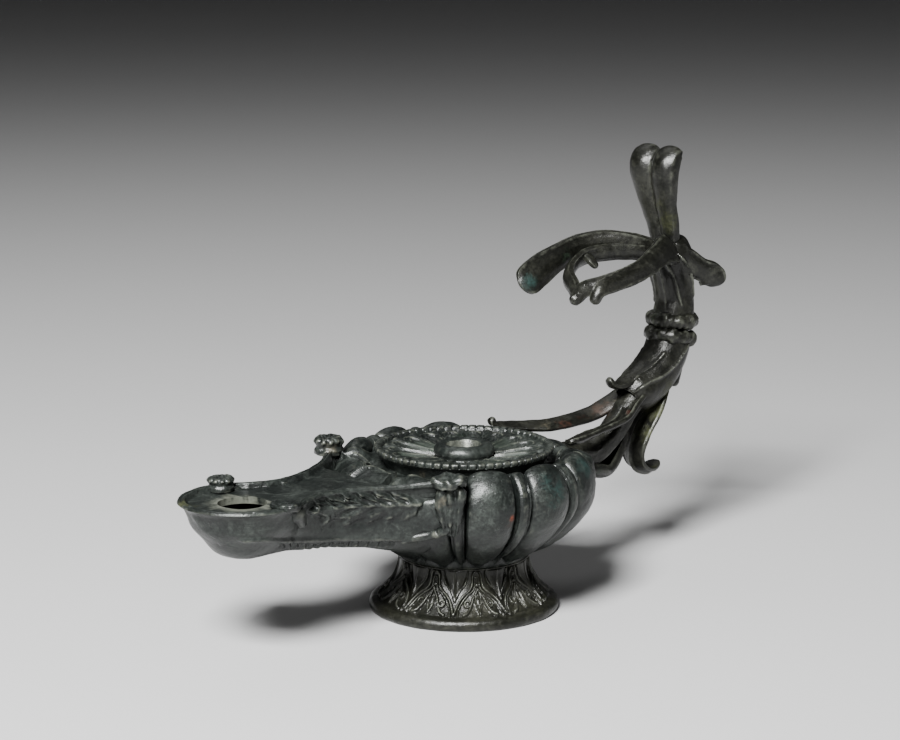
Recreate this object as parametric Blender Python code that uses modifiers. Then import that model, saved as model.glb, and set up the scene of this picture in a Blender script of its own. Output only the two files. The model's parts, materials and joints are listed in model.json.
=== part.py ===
"""A Roman bronze oil lamp: a lobed bowl with a discus and one long nozzle, a foot soldered
under it and a leafy handle soldered to its back.

Metres, +Z up. The foot's axis is the Z axis and the foot stands on z = 0. The nozzle runs
towards -X, the handle rises at +X, and the lamp's plane of symmetry is y = 0.
"""

import math

import bmesh
import bpy
import numpy as np

SEAM = 0.0003
WALL = 0.0020

FOOT_RADIUS = 0.0300
FOOT_HEIGHT = 0.0170
FOOT_RING_RADIUS = 0.0245
FOOT_RIM_HEIGHT = 0.0037
FOOT_RIM_STEP = 0.0020
NECK_RADIUS = 0.0203
FOOT_LEAVES = 10
FOOT_TURN = math.radians(23)
FOOT_RELIEF = 0.0016

BELLY_RADIUS = 0.0423
BOWL_HEIGHT = 0.0328
LOBES = 12
LOBE_SHARE = 0.74
LOBE_RISE = 0.0028
RIB_RISE = 0.0017
SHOULDER_DIP = 0.0029

DISCUS_RADIUS = 0.0280
DISCUS_FLARE = 0.0030
DISCUS_HEIGHT = 0.0058
DISCUS_SET = 0.0037
DISH_DEPTH = 0.0038
PETALS = 18
PETAL_RELIEF = 0.0013
BOSS_RADIUS = 0.0095
BOSS_HEIGHT = 0.0044
FILL_HOLE_RADIUS = 0.0055

NOZZLE_REACH = 0.0865
SPOON_RADIUS = 0.0190
NOZZLE_WAIST = 0.0120
NOZZLE_SET = 0.0006
NOZZLE_RIM_WIDTH = 0.0022
NOZZLE_RIM_RISE = 0.0012
NOZZLE_FLOOR_DROP = 0.0016
SPOON_DEPTH = 0.0181
WICK_HOLE_RADIUS = 0.0072
NOZZLE_LEAF_RELIEF = 0.0011
VOLUTE_ANGLE = math.radians(42.5)
VOLUTE_KNOB_RADIUS = 0.0046
TIP_KNOB_RADIUS = 0.0042
KNOB_HEIGHT = 0.0040
WORN_KNOB_HEIGHT = 0.0019

HANDLE_HEIGHT = 0.1000
HANDLE_ROOT_DEPTH = 0.0043
HANDLE_ROOT_RISE = 0.0227
COLLAR_RADIUS = 0.0092
COLLAR_BEAD = 0.0022

BOWL_BASE = FOOT_HEIGHT + SEAM
SHOULDER = BOWL_BASE + BOWL_HEIGHT
DISCUS_NECK_RADIUS = DISCUS_RADIUS - DISCUS_FLARE
DISCUS_FOOT = SHOULDER - DISCUS_SET
DISCUS_RIM = DISCUS_FOOT + DISCUS_HEIGHT
DISH_FLOOR = DISCUS_RIM - DISH_DEPTH
NOZZLE_RIM = SHOULDER - NOZZLE_SET

# Share of the way from the neck's radius to the belly's, and share of the bowl's height.
BOWL_OUTLINE = [
    (0.0, 0.0),
    (0.17, 0.067),
    (0.44, 0.175),
    (0.71, 0.325),
    (0.92, 0.51),
    (1.0, 0.69),
    (0.965, 0.85),
    (0.87, 0.965),
    (0.72, 1.045),
    (0.54, 1.03),
    (0.37, 0.94),
]

# Share of the half-width and of the height over the keel, from the rim down to the keel.
SPOON_HULL = [(0.92, 0.89), (0.86, 0.76), (0.80, 0.58), (0.66, 0.40), (0.40, 0.11), (0.0, 0.0)]
NECK_HULL = [(0.92, 0.88), (0.87, 0.76), (0.82, 0.50), (0.78, 0.27), (0.50, 0.04), (0.0, 0.0)]


def smooth_curve(points, count):
    """Catmull-Rom curve through rows of numbers, as count rows evenly spaced in parameter."""
    rows = np.asarray(points, float)
    padded = np.vstack([2 * rows[0] - rows[1], rows, 2 * rows[-1] - rows[-2]])
    place = np.linspace(0, len(rows) - 1, count)
    start = np.minimum(place.astype(int), len(rows) - 2)
    t = (place - start)[:, None]
    a, b, c, d = (padded[start + k] for k in range(4))
    return b + 0.5 * t * (c - a + t * (2 * a - 5 * b + 4 * c - d + t * (3 * (b - c) + d - a)))


def ease(value):
    """0 below 0, 1 above 1, and a smooth step between."""
    v = np.clip(value, 0.0, 1.0)
    return v * v * (3 - 2 * v)


def material(name, colour, roughness):
    """Old bronze: a Principled material of one colour."""
    made = bpy.data.materials.new(name)
    made.use_nodes = True
    shader = made.node_tree.nodes["Principled BSDF"]
    shader.inputs["Base Color"].default_value = (*colour, 1.0)
    shader.inputs["Roughness"].default_value = roughness
    shader.inputs["Metallic"].default_value = 0.6
    return made


def collection(name):
    made = bpy.data.collections.new(name)
    bpy.context.scene.collection.children.link(made)
    return made


def add_object(name, bm, group, finish=None):
    """Puts a bmesh into a new object, merged, with its faces pointing out."""
    bmesh.ops.remove_doubles(bm, verts=bm.verts, dist=1e-6)
    bmesh.ops.recalc_face_normals(bm, faces=bm.faces)
    mesh = bpy.data.meshes.new(name)
    bm.to_mesh(mesh)
    bm.free()
    mesh.shade_smooth()
    mesh.set_sharp_from_angle(angle=math.radians(40))
    made = bpy.data.objects.new(name, mesh)
    group.objects.link(made)
    if finish is None:
        made.hide_render = True
        made.display_type = "WIRE"
    else:
        mesh.materials.append(finish)
    return made


def loft(name, rings, group, finish=None):
    """A closed solid through rings of points: rings[i][j] is point j of ring i, with flat caps."""
    bm = bmesh.new()
    rows = [[bm.verts.new(point) for point in ring] for ring in rings]
    for low, high in zip(rows, rows[1:]):
        for j, corner in enumerate(low):
            after = (j + 1) % len(low)
            bm.faces.new((corner, low[after], high[after], high[j]))
    bm.faces.new(rows[0][::-1])
    bm.faces.new(rows[-1])
    return add_object(name, bm, group, finish)


def turned(name, profile, steps, group, place=(0.0, 0.0, 0.0)):
    """A solid of revolution about the Z axis through place; the profile runs from top to bottom."""
    bm = bmesh.new()
    corners = [bm.verts.new((radius, 0.0, height)) for radius, height in profile]
    for first, second in zip(corners, corners[1:]):
        bm.edges.new((first, second))
    mesh = bpy.data.meshes.new(name)
    bm.to_mesh(mesh)
    bm.free()
    made = bpy.data.objects.new(name, mesh)
    made.location = place
    made.hide_render = True
    made.display_type = "WIRE"
    group.objects.link(made)
    screw = made.modifiers.new("turn", "SCREW")
    screw.steps = steps
    screw.render_steps = steps
    screw.use_merge_vertices = True
    screw.merge_threshold = 0.00001
    return made


def boolean(target, tool, operation):
    """A live Boolean on target. The tool stays in its collection as a wire guide."""
    step = target.modifiers.new(operation.lower() + " " + tool.name, "BOOLEAN")
    step.operation = operation
    step.object = tool
    step.solver = "EXACT"


def around(radii, heights, angles):
    """Points of one ring about the Z axis."""
    return np.stack([radii * np.cos(angles), radii * np.sin(angles), heights + 0 * angles], axis=1)


def foot_outline(rise):
    """Radius of the flaring foot above its rim, at a share of the way up to the neck."""
    widest = FOOT_RADIUS - FOOT_RIM_STEP
    return NECK_RADIUS + (widest - NECK_RADIUS) * (1 - rise) ** 2.3


def foot_relief(turn, rise):
    """Height of the leaf-and-dart carving; turn is -0.5 to 0.5 across one leaf.

    A heart-shaped leaf hangs point down in the middle, and a dart stands at either side of it.
    """
    leaf_half = 0.37 * np.sin(np.pi * np.clip(0.10 + 0.76 * rise, 0, 1)) ** 0.7
    leaf = ease((leaf_half - np.abs(turn)) / 0.10)
    dart_half = 0.12 * np.clip(1.2 - rise, 0, 1)
    dart = ease((dart_half - (0.5 - np.abs(turn))) / 0.08)
    fade = ease(rise / 0.08) * ease((1 - rise) / 0.10)
    return FOOT_RELIEF * fade * (np.maximum(leaf, dart) - 0.5)


def make_foot(parts, cutters):
    """The flaring foot: a ring to stand on, a round rim, a carved cyma and an open top."""
    steps = FOOT_LEAVES * 8
    angles = np.arange(steps) * 2 * np.pi / steps
    turn = ((angles - FOOT_TURN) * FOOT_LEAVES / (2 * np.pi) + 0.5) % 1 - 0.5
    bulge = 0.12 * FOOT_RIM_HEIGHT
    rim = [
        (FOOT_RADIUS - bulge, 0.0),
        (FOOT_RADIUS, 0.3 * FOOT_RIM_HEIGHT),
        (FOOT_RADIUS - bulge, 0.75 * FOOT_RIM_HEIGHT),
    ]
    rings = [around(radius + 0 * angles, height, angles) for radius, height in rim]
    for rise in (0.0, 0.18, 0.45, 0.80, 1.0):
        height = FOOT_RIM_HEIGHT + (FOOT_HEIGHT - FOOT_RIM_HEIGHT) * rise
        rings.append(around(foot_outline(rise) + foot_relief(turn, rise), height, angles))
    foot = loft("foot", rings, parts, material("foot bronze", (0.085, 0.088, 0.066), 0.42))
    neck = NECK_RADIUS - WALL
    hollow = [(0.0, FOOT_HEIGHT + WALL), (neck, FOOT_HEIGHT + WALL)]
    for fall in (0.0, 0.4, 0.7, 1.0):
        radius = neck + (FOOT_RING_RADIUS - neck) * fall**1.6
        hollow.append((radius, FOOT_HEIGHT * (1 - fall)))
    hollow += [(FOOT_RING_RADIUS, -WALL), (0.0, -WALL)]
    boolean(foot, turned("foot hollow", hollow, 24, cutters), "DIFFERENCE")
    return foot


# Places across half a lobe, from its crest to the ridge of the rib, that get a point.
LOBE_STOPS = (0.0, 0.42, LOBE_SHARE, 1.0)
BOWL_ROWS = 9


def bowl_outline(rows):
    """Radius and height of the bowl's lobe crests, from the neck up over the shoulder."""
    shares = smooth_curve(BOWL_OUTLINE, rows)
    radii = NECK_RADIUS + (BELLY_RADIUS - NECK_RADIUS) * shares[:, 0]
    return radii, BOWL_BASE + BOWL_HEIGHT * shares[:, 1]


def lobe_relief(turn, climb):
    """Depth below the crest line; turn is -1 to 1 from rib to rib and climb 0 to 1 up the bowl.

    A lobe is a half ellipse across, rounded at its lower end and arched at its upper one. The
    ribs between the lobes are low roofs.
    """
    low, low_round, high, high_round = 0.02, 0.12, 0.97, 0.17
    end = np.maximum((low + low_round - climb) / low_round, (climb - high + high_round) / high_round)
    reach = (turn / LOBE_SHARE) ** 2 + np.clip(end, 0, None) ** 2
    lobe = LOBE_RISE * np.sqrt(np.clip(1 - reach, 0, 1))
    rib = RIB_RISE * (0.55 + 0.45 * ease((np.abs(turn) - LOBE_SHARE) / (1 - LOBE_SHARE)))
    rib = rib * ease((reach - 1.0) / 0.25)
    return np.where(reach < 1, lobe, rib) - LOBE_RISE


def bowl_rings(rows, stops, inset):
    """Lobed rings from the neck to the shoulder, moved inwards by inset along the surface.

    stops are the places across half a lobe, 0 at its crest and 1 at the rib, that get a point.
    """
    half = np.concatenate([stops, -np.asarray(stops)[-2:0:-1]])
    centres = np.arange(LOBES) * 2
    turns = (centres[:, None] + half[None, :]).ravel()
    turns = np.where(turns < 0, turns + 2 * LOBES, turns)
    turns = np.sort(turns)
    angles = np.pi + turns * np.pi / LOBES
    across = (turns + 1) % 2 - 1
    radii, heights = bowl_outline(rows)
    tilt_r, tilt_z = np.gradient(radii), np.gradient(heights)
    length = np.hypot(tilt_r, tilt_z)
    out_r, out_z = tilt_z / length, -tilt_r / length
    fade = ease(np.linspace(0, 1, rows) / 0.08)
    rings = []
    for k in range(rows):
        climb = k / (rows - 1)
        depth = lobe_relief(across, climb) * fade[k] - inset
        dip = SHOULDER_DIP * ease((climb - 0.6) / 0.2) * ease((np.abs(np.cos(angles)) - 0.68) / 0.1)
        rings.append(around(radii[k] + out_r[k] * depth, heights[k] + out_z[k] * depth - dip, angles))
    return rings


def make_bowl(parts):
    """The lobed bowl, still solid, closed at the top by the floor of the gap round the discus."""
    rings = bowl_rings(BOWL_ROWS, LOBE_STOPS, 0.0)
    last = rings[-1]
    angles = np.arctan2(last[:, 1], last[:, 0])
    rings.append(around(DISCUS_NECK_RADIUS + 0 * angles, DISCUS_FOOT, angles))
    return loft("lamp_body", rings, parts, material("bowl bronze", (0.070, 0.078, 0.062), 0.38))


def make_reservoir(cutters):
    """The hollow of the bowl: the lobes again, a wall further in, up to the discus's floor."""
    rings = bowl_rings(5, (0.0, LOBE_SHARE, 1.0), WALL)
    base = rings[0].copy()
    base[:, 2] = BOWL_BASE + WALL
    base[:, :2] *= (NECK_RADIUS - WALL) / NECK_RADIUS
    angles = np.arctan2(base[:, 1], base[:, 0])
    rings = [base] + rings[1:]
    for radius, height in (
        (DISCUS_NECK_RADIUS + WALL, DISCUS_FOOT - WALL),
        (DISCUS_NECK_RADIUS - WALL, DISCUS_FOOT - WALL),
        (DISCUS_NECK_RADIUS - 3 * WALL, DISH_FLOOR - WALL),
    ):
        rings.append(around(radius + 0 * angles, height, angles))
    return loft("reservoir", rings, cutters)


def petal_relief(turn, inwards):
    """Height of the discus's petals; turn is -0.5 to 0.5 across one and inwards 0 to 1."""
    edge = ease((np.abs(turn) - 0.25) / 0.25)
    return PETAL_RELIEF * (edge - 0.5) * ease(inwards / 0.15) * ease((1 - inwards) / 0.15)


def make_discus(cutters):
    """The flared dish on the bowl, its rim and the petals that radiate over its floor."""
    steps = PETALS * 2
    angles = np.arange(steps) * 2 * np.pi / steps
    turn = (angles * PETALS / (2 * np.pi) + 0.5) % 1 - 0.5
    lip = 0.45 * DISH_DEPTH
    plain = [
        (DISCUS_NECK_RADIUS - 0.3 * lip, DISCUS_FOOT - 0.3 * WALL),
        (DISCUS_NECK_RADIUS + 0.5 * DISCUS_FLARE, DISCUS_FOOT + 0.45 * DISCUS_HEIGHT),
        (DISCUS_RADIUS, DISCUS_FOOT + 0.74 * DISCUS_HEIGHT),
        (DISCUS_RADIUS, DISCUS_RIM - 0.3 * lip),
        (DISCUS_RADIUS - 0.4 * lip, DISCUS_RIM),
        (DISCUS_RADIUS - lip, DISCUS_RIM - 0.1 * lip),
    ]
    rings = [around(radius + 0 * angles, height, angles) for radius, height in plain]
    outside = DISCUS_RADIUS - 1.5 * lip
    for inwards in (0.0, 0.25, 0.6, 1.0):
        radius = outside + (0.9 * BOSS_RADIUS - outside) * inwards
        height = DISH_FLOOR + 0.6 * DISH_DEPTH * (1 - inwards) ** 1.4 + petal_relief(turn, inwards)
        rings.append(around(radius + 0 * angles, height, angles))
    return loft("discus", rings, cutters)


def make_boss(cutters):
    """The round collar about the filling hole."""
    profile = [(0.0, DISH_FLOOR + 0.7 * BOSS_HEIGHT)]
    middle = (BOSS_RADIUS + FILL_HOLE_RADIUS) / 2
    half = (BOSS_RADIUS - FILL_HOLE_RADIUS) / 2
    for angle in np.radians((180, 120, 60, 0)):
        height = DISH_FLOOR + 0.55 * BOSS_HEIGHT + 0.45 * BOSS_HEIGHT * math.sin(angle)
        profile.append((middle + half * math.cos(angle), height))
    root = DISH_FLOOR - 0.25 * BOSS_HEIGHT
    profile += [(BOSS_RADIUS - 0.6 * half, root), (0.0, root)]
    return turned("boss", profile, 16, cutters)


def straight_hole(name, radius, x, low, high, cutters):
    profile = [(0.0, high), (radius, high), (radius, low), (0.0, low)]
    return turned(name, profile, 20, cutters, (x, 0.0, 0.0))


def nozzle_width(x):
    """Half the width of the nozzle's top at a distance x from the bowl's axis, before the spoon.

    It widens from its waist to the volutes, and narrows again inside the bowl.
    """
    spread = BELLY_RADIUS * math.sin(VOLUTE_ANGLE)
    volute = BELLY_RADIUS * math.cos(VOLUTE_ANGLE)
    waist = NOZZLE_REACH - 1.24 * SPOON_RADIUS
    open_up = np.clip((waist - x) / (waist - volute), 0, 1)
    back = np.clip((x - waist) / (0.6 * SPOON_RADIUS), 0, 1)
    hidden = 1 - 0.3 * ease((volute - x) / (0.12 * BELLY_RADIUS))
    swell = (spread - NOZZLE_WAIST) * open_up**1.55 + 0.15 * SPOON_RADIUS * back**2
    return (NOZZLE_WAIST + swell) * hidden


def nozzle_keel(x):
    """Height of the nozzle's underside along its middle, at a distance x from the bowl's axis."""
    spoon = NOZZLE_RIM - SPOON_DEPTH
    near = BOWL_BASE + 0.08 * BOWL_HEIGHT
    share = np.clip((NOZZLE_REACH - x) / (NOZZLE_REACH - 0.45 * BELLY_RADIUS), 0, 1)
    return spoon - (spoon - near) * share**2.4


def nozzle_rim(x):
    """Height of the nozzle's rim: level, rising a little to the volutes, then down into the bowl."""
    volute = BELLY_RADIUS * math.cos(VOLUTE_ANGLE)
    rise = NOZZLE_RIM_RISE * ease((volute + 0.28 * BELLY_RADIUS - x) / (0.33 * BELLY_RADIUS))
    sunk = 0.24 * BOWL_HEIGHT * ease((volute - 0.012 * BELLY_RADIUS - x) / (0.165 * BELLY_RADIUS))
    return NOZZLE_RIM + rise - sunk


def nozzle_plan(start, neck_count, spoon_count):
    """Half of the nozzle's outline seen from above, from inside the bowl to the tip, and its spine.

    The neck is a width over the distance from the axis, and the spoon an arc about its centre.
    """
    join = NOZZLE_REACH - 0.62 * SPOON_RADIUS
    along = np.linspace(start, join, neck_count, endpoint=False)
    neck = np.stack([along, nozzle_width(along)], axis=1)
    first = math.acos((NOZZLE_REACH - join) / SPOON_RADIUS)
    angles = np.linspace(first, math.pi, spoon_count)
    spoon = np.stack(
        [NOZZLE_REACH - SPOON_RADIUS * np.cos(angles), SPOON_RADIUS * np.sin(angles)], axis=1
    )
    edge = np.vstack([neck, spoon])
    spine = np.minimum(edge[:, 0], NOZZLE_REACH)
    return edge, spine


def nozzle_levels(edge, spine, inset):
    """Rows of points from the middle of the nozzle's top over the rim and down to the keel.

    Each row is the outline drawn in towards the spine by a share, at its own height.
    """
    half = np.hypot(edge[:, 0] - spine, edge[:, 1])
    rim, keel = nozzle_rim(spine), nozzle_keel(spine) + inset
    floor = np.minimum(rim, NOZZLE_RIM) - NOZZLE_FLOOR_DROP - inset
    blend = ease((spine - 0.72 * NOZZLE_REACH) / (0.22 * NOZZLE_REACH))
    low_half = np.clip((0.72 * NOZZLE_REACH - spine) / (0.37 * NOZZLE_REACH), 0, 1) ** 1.3
    low_half = NOZZLE_WAIST * (0.875 + 1.04 * low_half)
    rows = []
    if inset:
        rows += [(0 * half, floor), (0.55 + 0 * half, floor)]
        body = floor - keel
    else:
        edge_width = NOZZLE_RIM_WIDTH / half
        rows += [(0 * half, floor), (1 - 1.27 * edge_width, floor), (1 - edge_width, rim)]
        rows += [(1 - 0.23 * edge_width, rim), (1 + 0 * half, rim - 0.36 * NOZZLE_RIM_WIDTH)]
        body = rim - keel
    serration = np.where(np.arange(len(spine)) % 2, 1.0, 0.0) * (1 - blend)
    for k, (spoon, neck) in enumerate(zip(SPOON_HULL, NECK_HULL)):
        slim = 1.0 if k < 2 else 0.0
        narrowed = neck[0] * (slim + (1 - slim) * np.minimum(1.0, low_half / (0.82 * half)))
        share = narrowed + (spoon[0] - narrowed) * blend
        height = neck[1] + (spoon[1] - neck[1]) * blend
        if inset:
            share = np.maximum(share - inset / half, 0)
        elif k in (1, 3):
            share = share + NOZZLE_LEAF_RELIEF * serration / half
        rows.append((share, keel + body * height))
    return rows


def nozzle_solid(name, start, neck_count, spoon_count, inset, group):
    """The nozzle, or with an inset the channel inside it: half of it, mirrored over y = 0."""
    edge, spine = nozzle_plan(start, neck_count, spoon_count)
    levels = nozzle_levels(edge, spine, inset)
    bm = bmesh.new()
    for side in (1, -1):
        rows = []
        for share, height in levels:
            x = -(spine + (edge[:, 0] - spine) * share)
            rows.append([bm.verts.new(p) for p in zip(x, side * edge[:, 1] * share, height)])
        for low, high in zip(rows, rows[1:]):
            for j in range(len(low) - 1):
                bm.faces.new((low[j], low[j + 1], high[j + 1], high[j]))
    bmesh.ops.remove_doubles(bm, verts=bm.verts, dist=1e-6)
    bmesh.ops.dissolve_degenerate(bm, edges=bm.edges, dist=1e-6)
    bmesh.ops.holes_fill(bm, edges=[e for e in bm.edges if e.is_boundary])
    return add_object(name, bm, group)


def console(name, side, cutters):
    """The fluted bracket under a volute: it narrows down the bowl's side like a bunch of stems."""
    x = -BELLY_RADIUS * math.cos(VOLUTE_ANGLE)
    y = BELLY_RADIUS * math.sin(VOLUTE_ANGLE) * side
    top = nozzle_rim(-x)
    drop = top - BOWL_BASE
    rows = []
    along_rim = (math.sin(VOLUTE_ANGLE), math.cos(VOLUTE_ANGLE) * side, 0.0)
    size = VOLUTE_KNOB_RADIUS
    for fall, shift, half, thick in CONSOLE:
        rows.append((x * shift, y * shift, top - fall * drop, half * size, thick * size, *along_rim))
    return sweep(name, smooth_curve(rows, 6), FLUTES, cutters)


def knob(name, radius, height, place, cutters):
    """A rosette: a short waist under a wider round head."""
    profile = [
        (0.0, height),
        (0.70 * radius, height),
        (radius, 0.72 * height),
        (0.72 * radius, 0.25 * height),
        (0.72 * radius, -0.5 * radius),
        (0.0, -0.5 * radius),
    ]
    return turned(name, profile, 9, cutters, place)


def sweep(name, path, section, group):
    """A closed strip along a path. A row of the path is x, y, z, half-width, half-thickness,
    and the direction across the strip; the section is in shares of the two half sizes."""
    rows = np.asarray(path, float)
    points = rows[:, :3]
    tangent = np.gradient(points, axis=0)
    tangent /= np.linalg.norm(tangent, axis=1)[:, None]
    across = rows[:, 5:8] - tangent * np.sum(rows[:, 5:8] * tangent, axis=1)[:, None]
    across /= np.linalg.norm(across, axis=1)[:, None]
    face = np.cross(tangent, across)
    shape = np.asarray(section, float)
    wide = rows[:, 3][:, None, None] * shape[None, :, 0, None] * across[:, None, :]
    thick = rows[:, 4][:, None, None] * shape[None, :, 1, None] * face[:, None, :]
    return loft(name, points[:, None, :] + wide + thick, group)


def regular(sides):
    """The section of a round bar with this many sides."""
    return [(math.cos(turn), math.sin(turn)) for turn in np.arange(sides) * 2 * math.pi / sides]


# Rows of the bracket under a volute: shares of the way down the bowl and of the volute's
# distance out, then half-width and half-thickness in knob radii.
CONSOLE = [
    (0.02, 0.985, 1.00, 0.48),
    (0.20, 1.000, 0.91, 0.46),
    (0.36, 0.985, 0.70, 0.41),
    (0.54, 0.925, 0.39, 0.35),
]
# The section of a fluted bracket, three ribs on its outer face.
FLUTES = [
    (-1, 0.3),
    (-0.7, 1),
    (-0.35, 0.6),
    (0, 1.1),
    (0.35, 0.6),
    (0.7, 1),
    (1, 0.3),
    (0.8, -1),
    (-0.8, -1),
]
# The section of a leaf: raised edges and a midrib on one face, the other rounded.
BLADE = [
    (-1.0, -0.4),
    (0.0, -0.9),
    (1.0, -0.4),
    (0.95, 0.7),
    (0.5, 0.2),
    (0.0, 0.9),
    (-0.5, 0.2),
    (-0.95, 0.7),
]


def handle_point(x, y, z):
    """A place on the handle, in hundredths of its height from its root on the bowl."""
    unit = HANDLE_HEIGHT / 100
    root_x = BELLY_RADIUS - HANDLE_ROOT_DEPTH
    return (root_x + x * unit, y * unit, BOWL_BASE + HANDLE_ROOT_RISE + z * unit)


def handle_path(rows, count, across=(0.0, 1.0, 0.0), mirror=1):
    """A smooth path from rows of x, y, z, half-width and half-thickness in hundredths."""
    unit = HANDLE_HEIGHT / 100
    full = []
    for x, y, z, half, thick in rows:
        place = handle_point(x, y * mirror, z)
        full.append((*place, half * unit, thick * unit, across[0], across[1] * mirror, across[2]))
    return smooth_curve(full, count)


STALK = [
    (-1.5, 0, 0, 6.2, 5.2),
    (8, 0, 1, 5.6, 5),
    (17, 0, 0.5, 5.2, 4.4),
    (27, 0, 6, 4.6, 4),
    (36, 0, 15, 4.4, 4),
    (45, 0, 21, 4.5, 4),
]
SHEATH = [
    (33.5, 0, 14.8, 7.0, 6.6),
    (38.5, 0, 18, 7.6, 7.2),
    (45.3, 0, 21.8, 7.8, 7.4),
    (51, 0, 27.5, 7.7, 7.4),
    (54.3, 0, 34, 7.7, 7.4),
    (55.3, 0, 40, 7.5, 7.2),
]
SHEATH_MOUTH = [(30, 0, 12.4, 5.9, 5.4), (35, 0, 15.8, 5.2, 4.8), (38.5, 0, 18.0, 4.4, 4.2)]
BELL = [
    (55.3, 0, 36, 7.6, 7.4),
    (56.0, 0, 43, 7.2, 7.0),
    (56.3, 0, 49, 6.8, 6.6),
    (55.3, 0, 57, 7.6, 7.4),
    (53.6, 0, 63, 8.2, 8.0),
    (52.4, 0, 67.5, 6.4, 6.4),
    (51.8, 0, 70, 3.5, 3.5),
]
REAR_LEAF = [
    (53, 0, 24, 2.8, 1.3),
    (49.0, 0, 16, 4.6, 1.3),
    (44.6, 0, 10, 5.0, 1.3),
    (40.0, 0, 4, 5.0, 1.3),
    (38.0, 0, -1.5, 4.8, 1.3),
    (39.5, 0, -6.3, 4.5, 1.4),
    (44.5, 0, -8.4, 3.9, 1.4),
    (49.5, 0, -6.6, 2.4, 1.2),
]
REAR_STALK = [
    (61.0, 0, 32, 1.9, 1.9),
    (58.8, 0, 25, 1.9, 1.9),
    (57.0, 0, 20, 2.0, 2.0),
    (56.3, 0, 17.5, 2.1, 2.1),
]
CLASP = [
    (8, 0, -2, 7.5, 3.6),
    (17, 0, -4.0, 7.0, 3.4),
    (23, 0, -5.0, 5.5, 3.2),
    (29, 0, 0.5, 4.2, 2.8),
    (34, 0, 6.5, 2.0, 1.6),
]
CURL = [
    (38, 0, 23.5, 3.6, 1.6),
    (31.5, 0, 21.6, 2.8, 1.3),
    (27.6, 0, 22.0, 2.1, 1.3),
    (25.8, 0, 24.6, 1.3, 1.2),
]
UPRIGHT = [
    (52.0, 2.4, 66, 2.8, 2.6),
    (50.4, 3.0, 73, 3.2, 2.9),
    (47.8, 3.7, 81, 3.7, 3.2),
    (46.0, 4.6, 89, 4.6, 3.7),
    (46.2, 5.0, 94, 5.0, 3.9),
    (48.3, 5.0, 97.4, 4.7, 2.6),
    (51.5, 4.9, 96.0, 3.1, 1.7),
]
SPOON_LEAF = [
    (53, 2, 63, 3.6, 2.1),
    (44, 5.5, 65.8, 3.8, 1.9),
    (36, 12.6, 67.4, 3.7, 1.7),
    (28, 17.0, 66.0, 3.8, 1.7),
    (20, 18.2, 63.2, 4.3, 1.7),
    (12, 17.8, 60.2, 4.9, 1.6),
    (5.5, 17.2, 57.2, 4.8, 1.5),
    (1.8, 17.0, 55.4, 3.0, 1.2),
]
SLIM_LEAF = [
    (53, 2, 63, 4.2, 2.2),
    (46, 6.5, 65.8, 4.2, 2.2),
    (37, 11.2, 65.4, 3.7, 2.1),
    (28, 14.8, 63.4, 3.3, 2.0),
    (19, 17.0, 61.6, 3.0, 1.9),
    (10, 18.0, 60.2, 2.7, 1.8),
    (3, 18.2, 58.4, 2.2, 1.6),
    (0.4, 18.0, 54.2, 1.4, 1.2),
]
TENDRIL = [
    (50, 2, 63, 2.9, 2.0),
    (43, 5.5, 64.2, 2.9, 1.9),
    (36, 10.4, 64.2, 2.8, 1.8),
    (28, 13.6, 63.0, 2.8, 1.8),
    (21, 12.6, 60.6, 2.8, 1.8),
    (15.5, 8.8, 58.2, 2.7, 1.8),
    (12, 2.6, 56, 2.5, 1.8),
    (10.6, 0.4, 53.0, 2.0, 1.6),
    (8.6, 0.2, 51.2, 1.4, 1.2),
]
TONGUE = [(28, 13.4, 63.6, 2.2, 1.4), (27, 10.6, 62.6, 2.0, 1.4), (28.2, 8.2, 59.8, 1.3, 1.0)]
BACK_LEAF = [
    (52, 3, 62, 3.4, 2.2),
    (56.6, 5.8, 60.0, 3.3, 1.9),
    (60.4, 8.0, 58.0, 3.2, 1.8),
    (63.2, 9.2, 56.4, 4.2, 1.9),
    (64.7, 9.8, 54.0, 4.5, 1.9),
    (65.2, 9.9, 51.8, 3.2, 1.5),
]


# Rows over the bowl: angle from the handle, share of the way from the discus out to the
# belly, then height over the shoulder and half-width in hundredths of the handle's height.
STRUT_END = [
    (11.5, 1.62, -0.1, 3.6),
    (15.5, 1.10, 0.0, 3.4),
    (21.5, 0.62, 0.3, 3.0),
    (27.5, 0.25, 0.7, 2.5),
    (31.0, 0.02, 1.2, 1.9),
    (32.0, -0.12, 3.8, 1.2),
]


def strut_path(mirror):
    """The leaf from the sheath's mouth, down beside the discus, to its upturned tip.

    Its far end follows the bowl: places there are a distance from the axis and an angle.
    """
    unit = HANDLE_HEIGHT / 100
    rows = []
    for x, y, z, half in ((39.5, 3.0, 19.0, 3.4), (31.5, 5.0, 14.8, 3.5), (24, 7.4, 11.4, 3.5)):
        rows.append((*handle_point(x, y * mirror, z), half * unit, 1.35 * unit, 0.15, mirror, 0.35))
    inner = 1.185 * DISCUS_RADIUS
    for angle, share, lift, half in STRUT_END:
        radius = inner + (BELLY_RADIUS - inner) * share
        turn = math.radians(angle)
        height = SHOULDER + lift * unit
        place = (radius * math.cos(turn), radius * math.sin(turn) * mirror, height)
        rows.append((*place, half * unit, 1.25 * unit, 0.15, mirror, 0.25))
    return smooth_curve(rows, 12)


def collar_rings(name, x, z, lean, cutters):
    """One round ring of the collar, square to the stem."""
    profile = [(0.0, COLLAR_BEAD)]
    for angle in np.radians((50, 0, -50)):
        radius = COLLAR_RADIUS - COLLAR_BEAD * (1 - math.cos(angle))
        profile.append((radius, 1.1 * COLLAR_BEAD * math.sin(angle)))
    profile.append((0.0, -COLLAR_BEAD))
    ring = turned(name, profile, 12, cutters, handle_point(x, 0, z))
    ring.rotation_euler = (0.0, lean, 0.0)
    return ring


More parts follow.
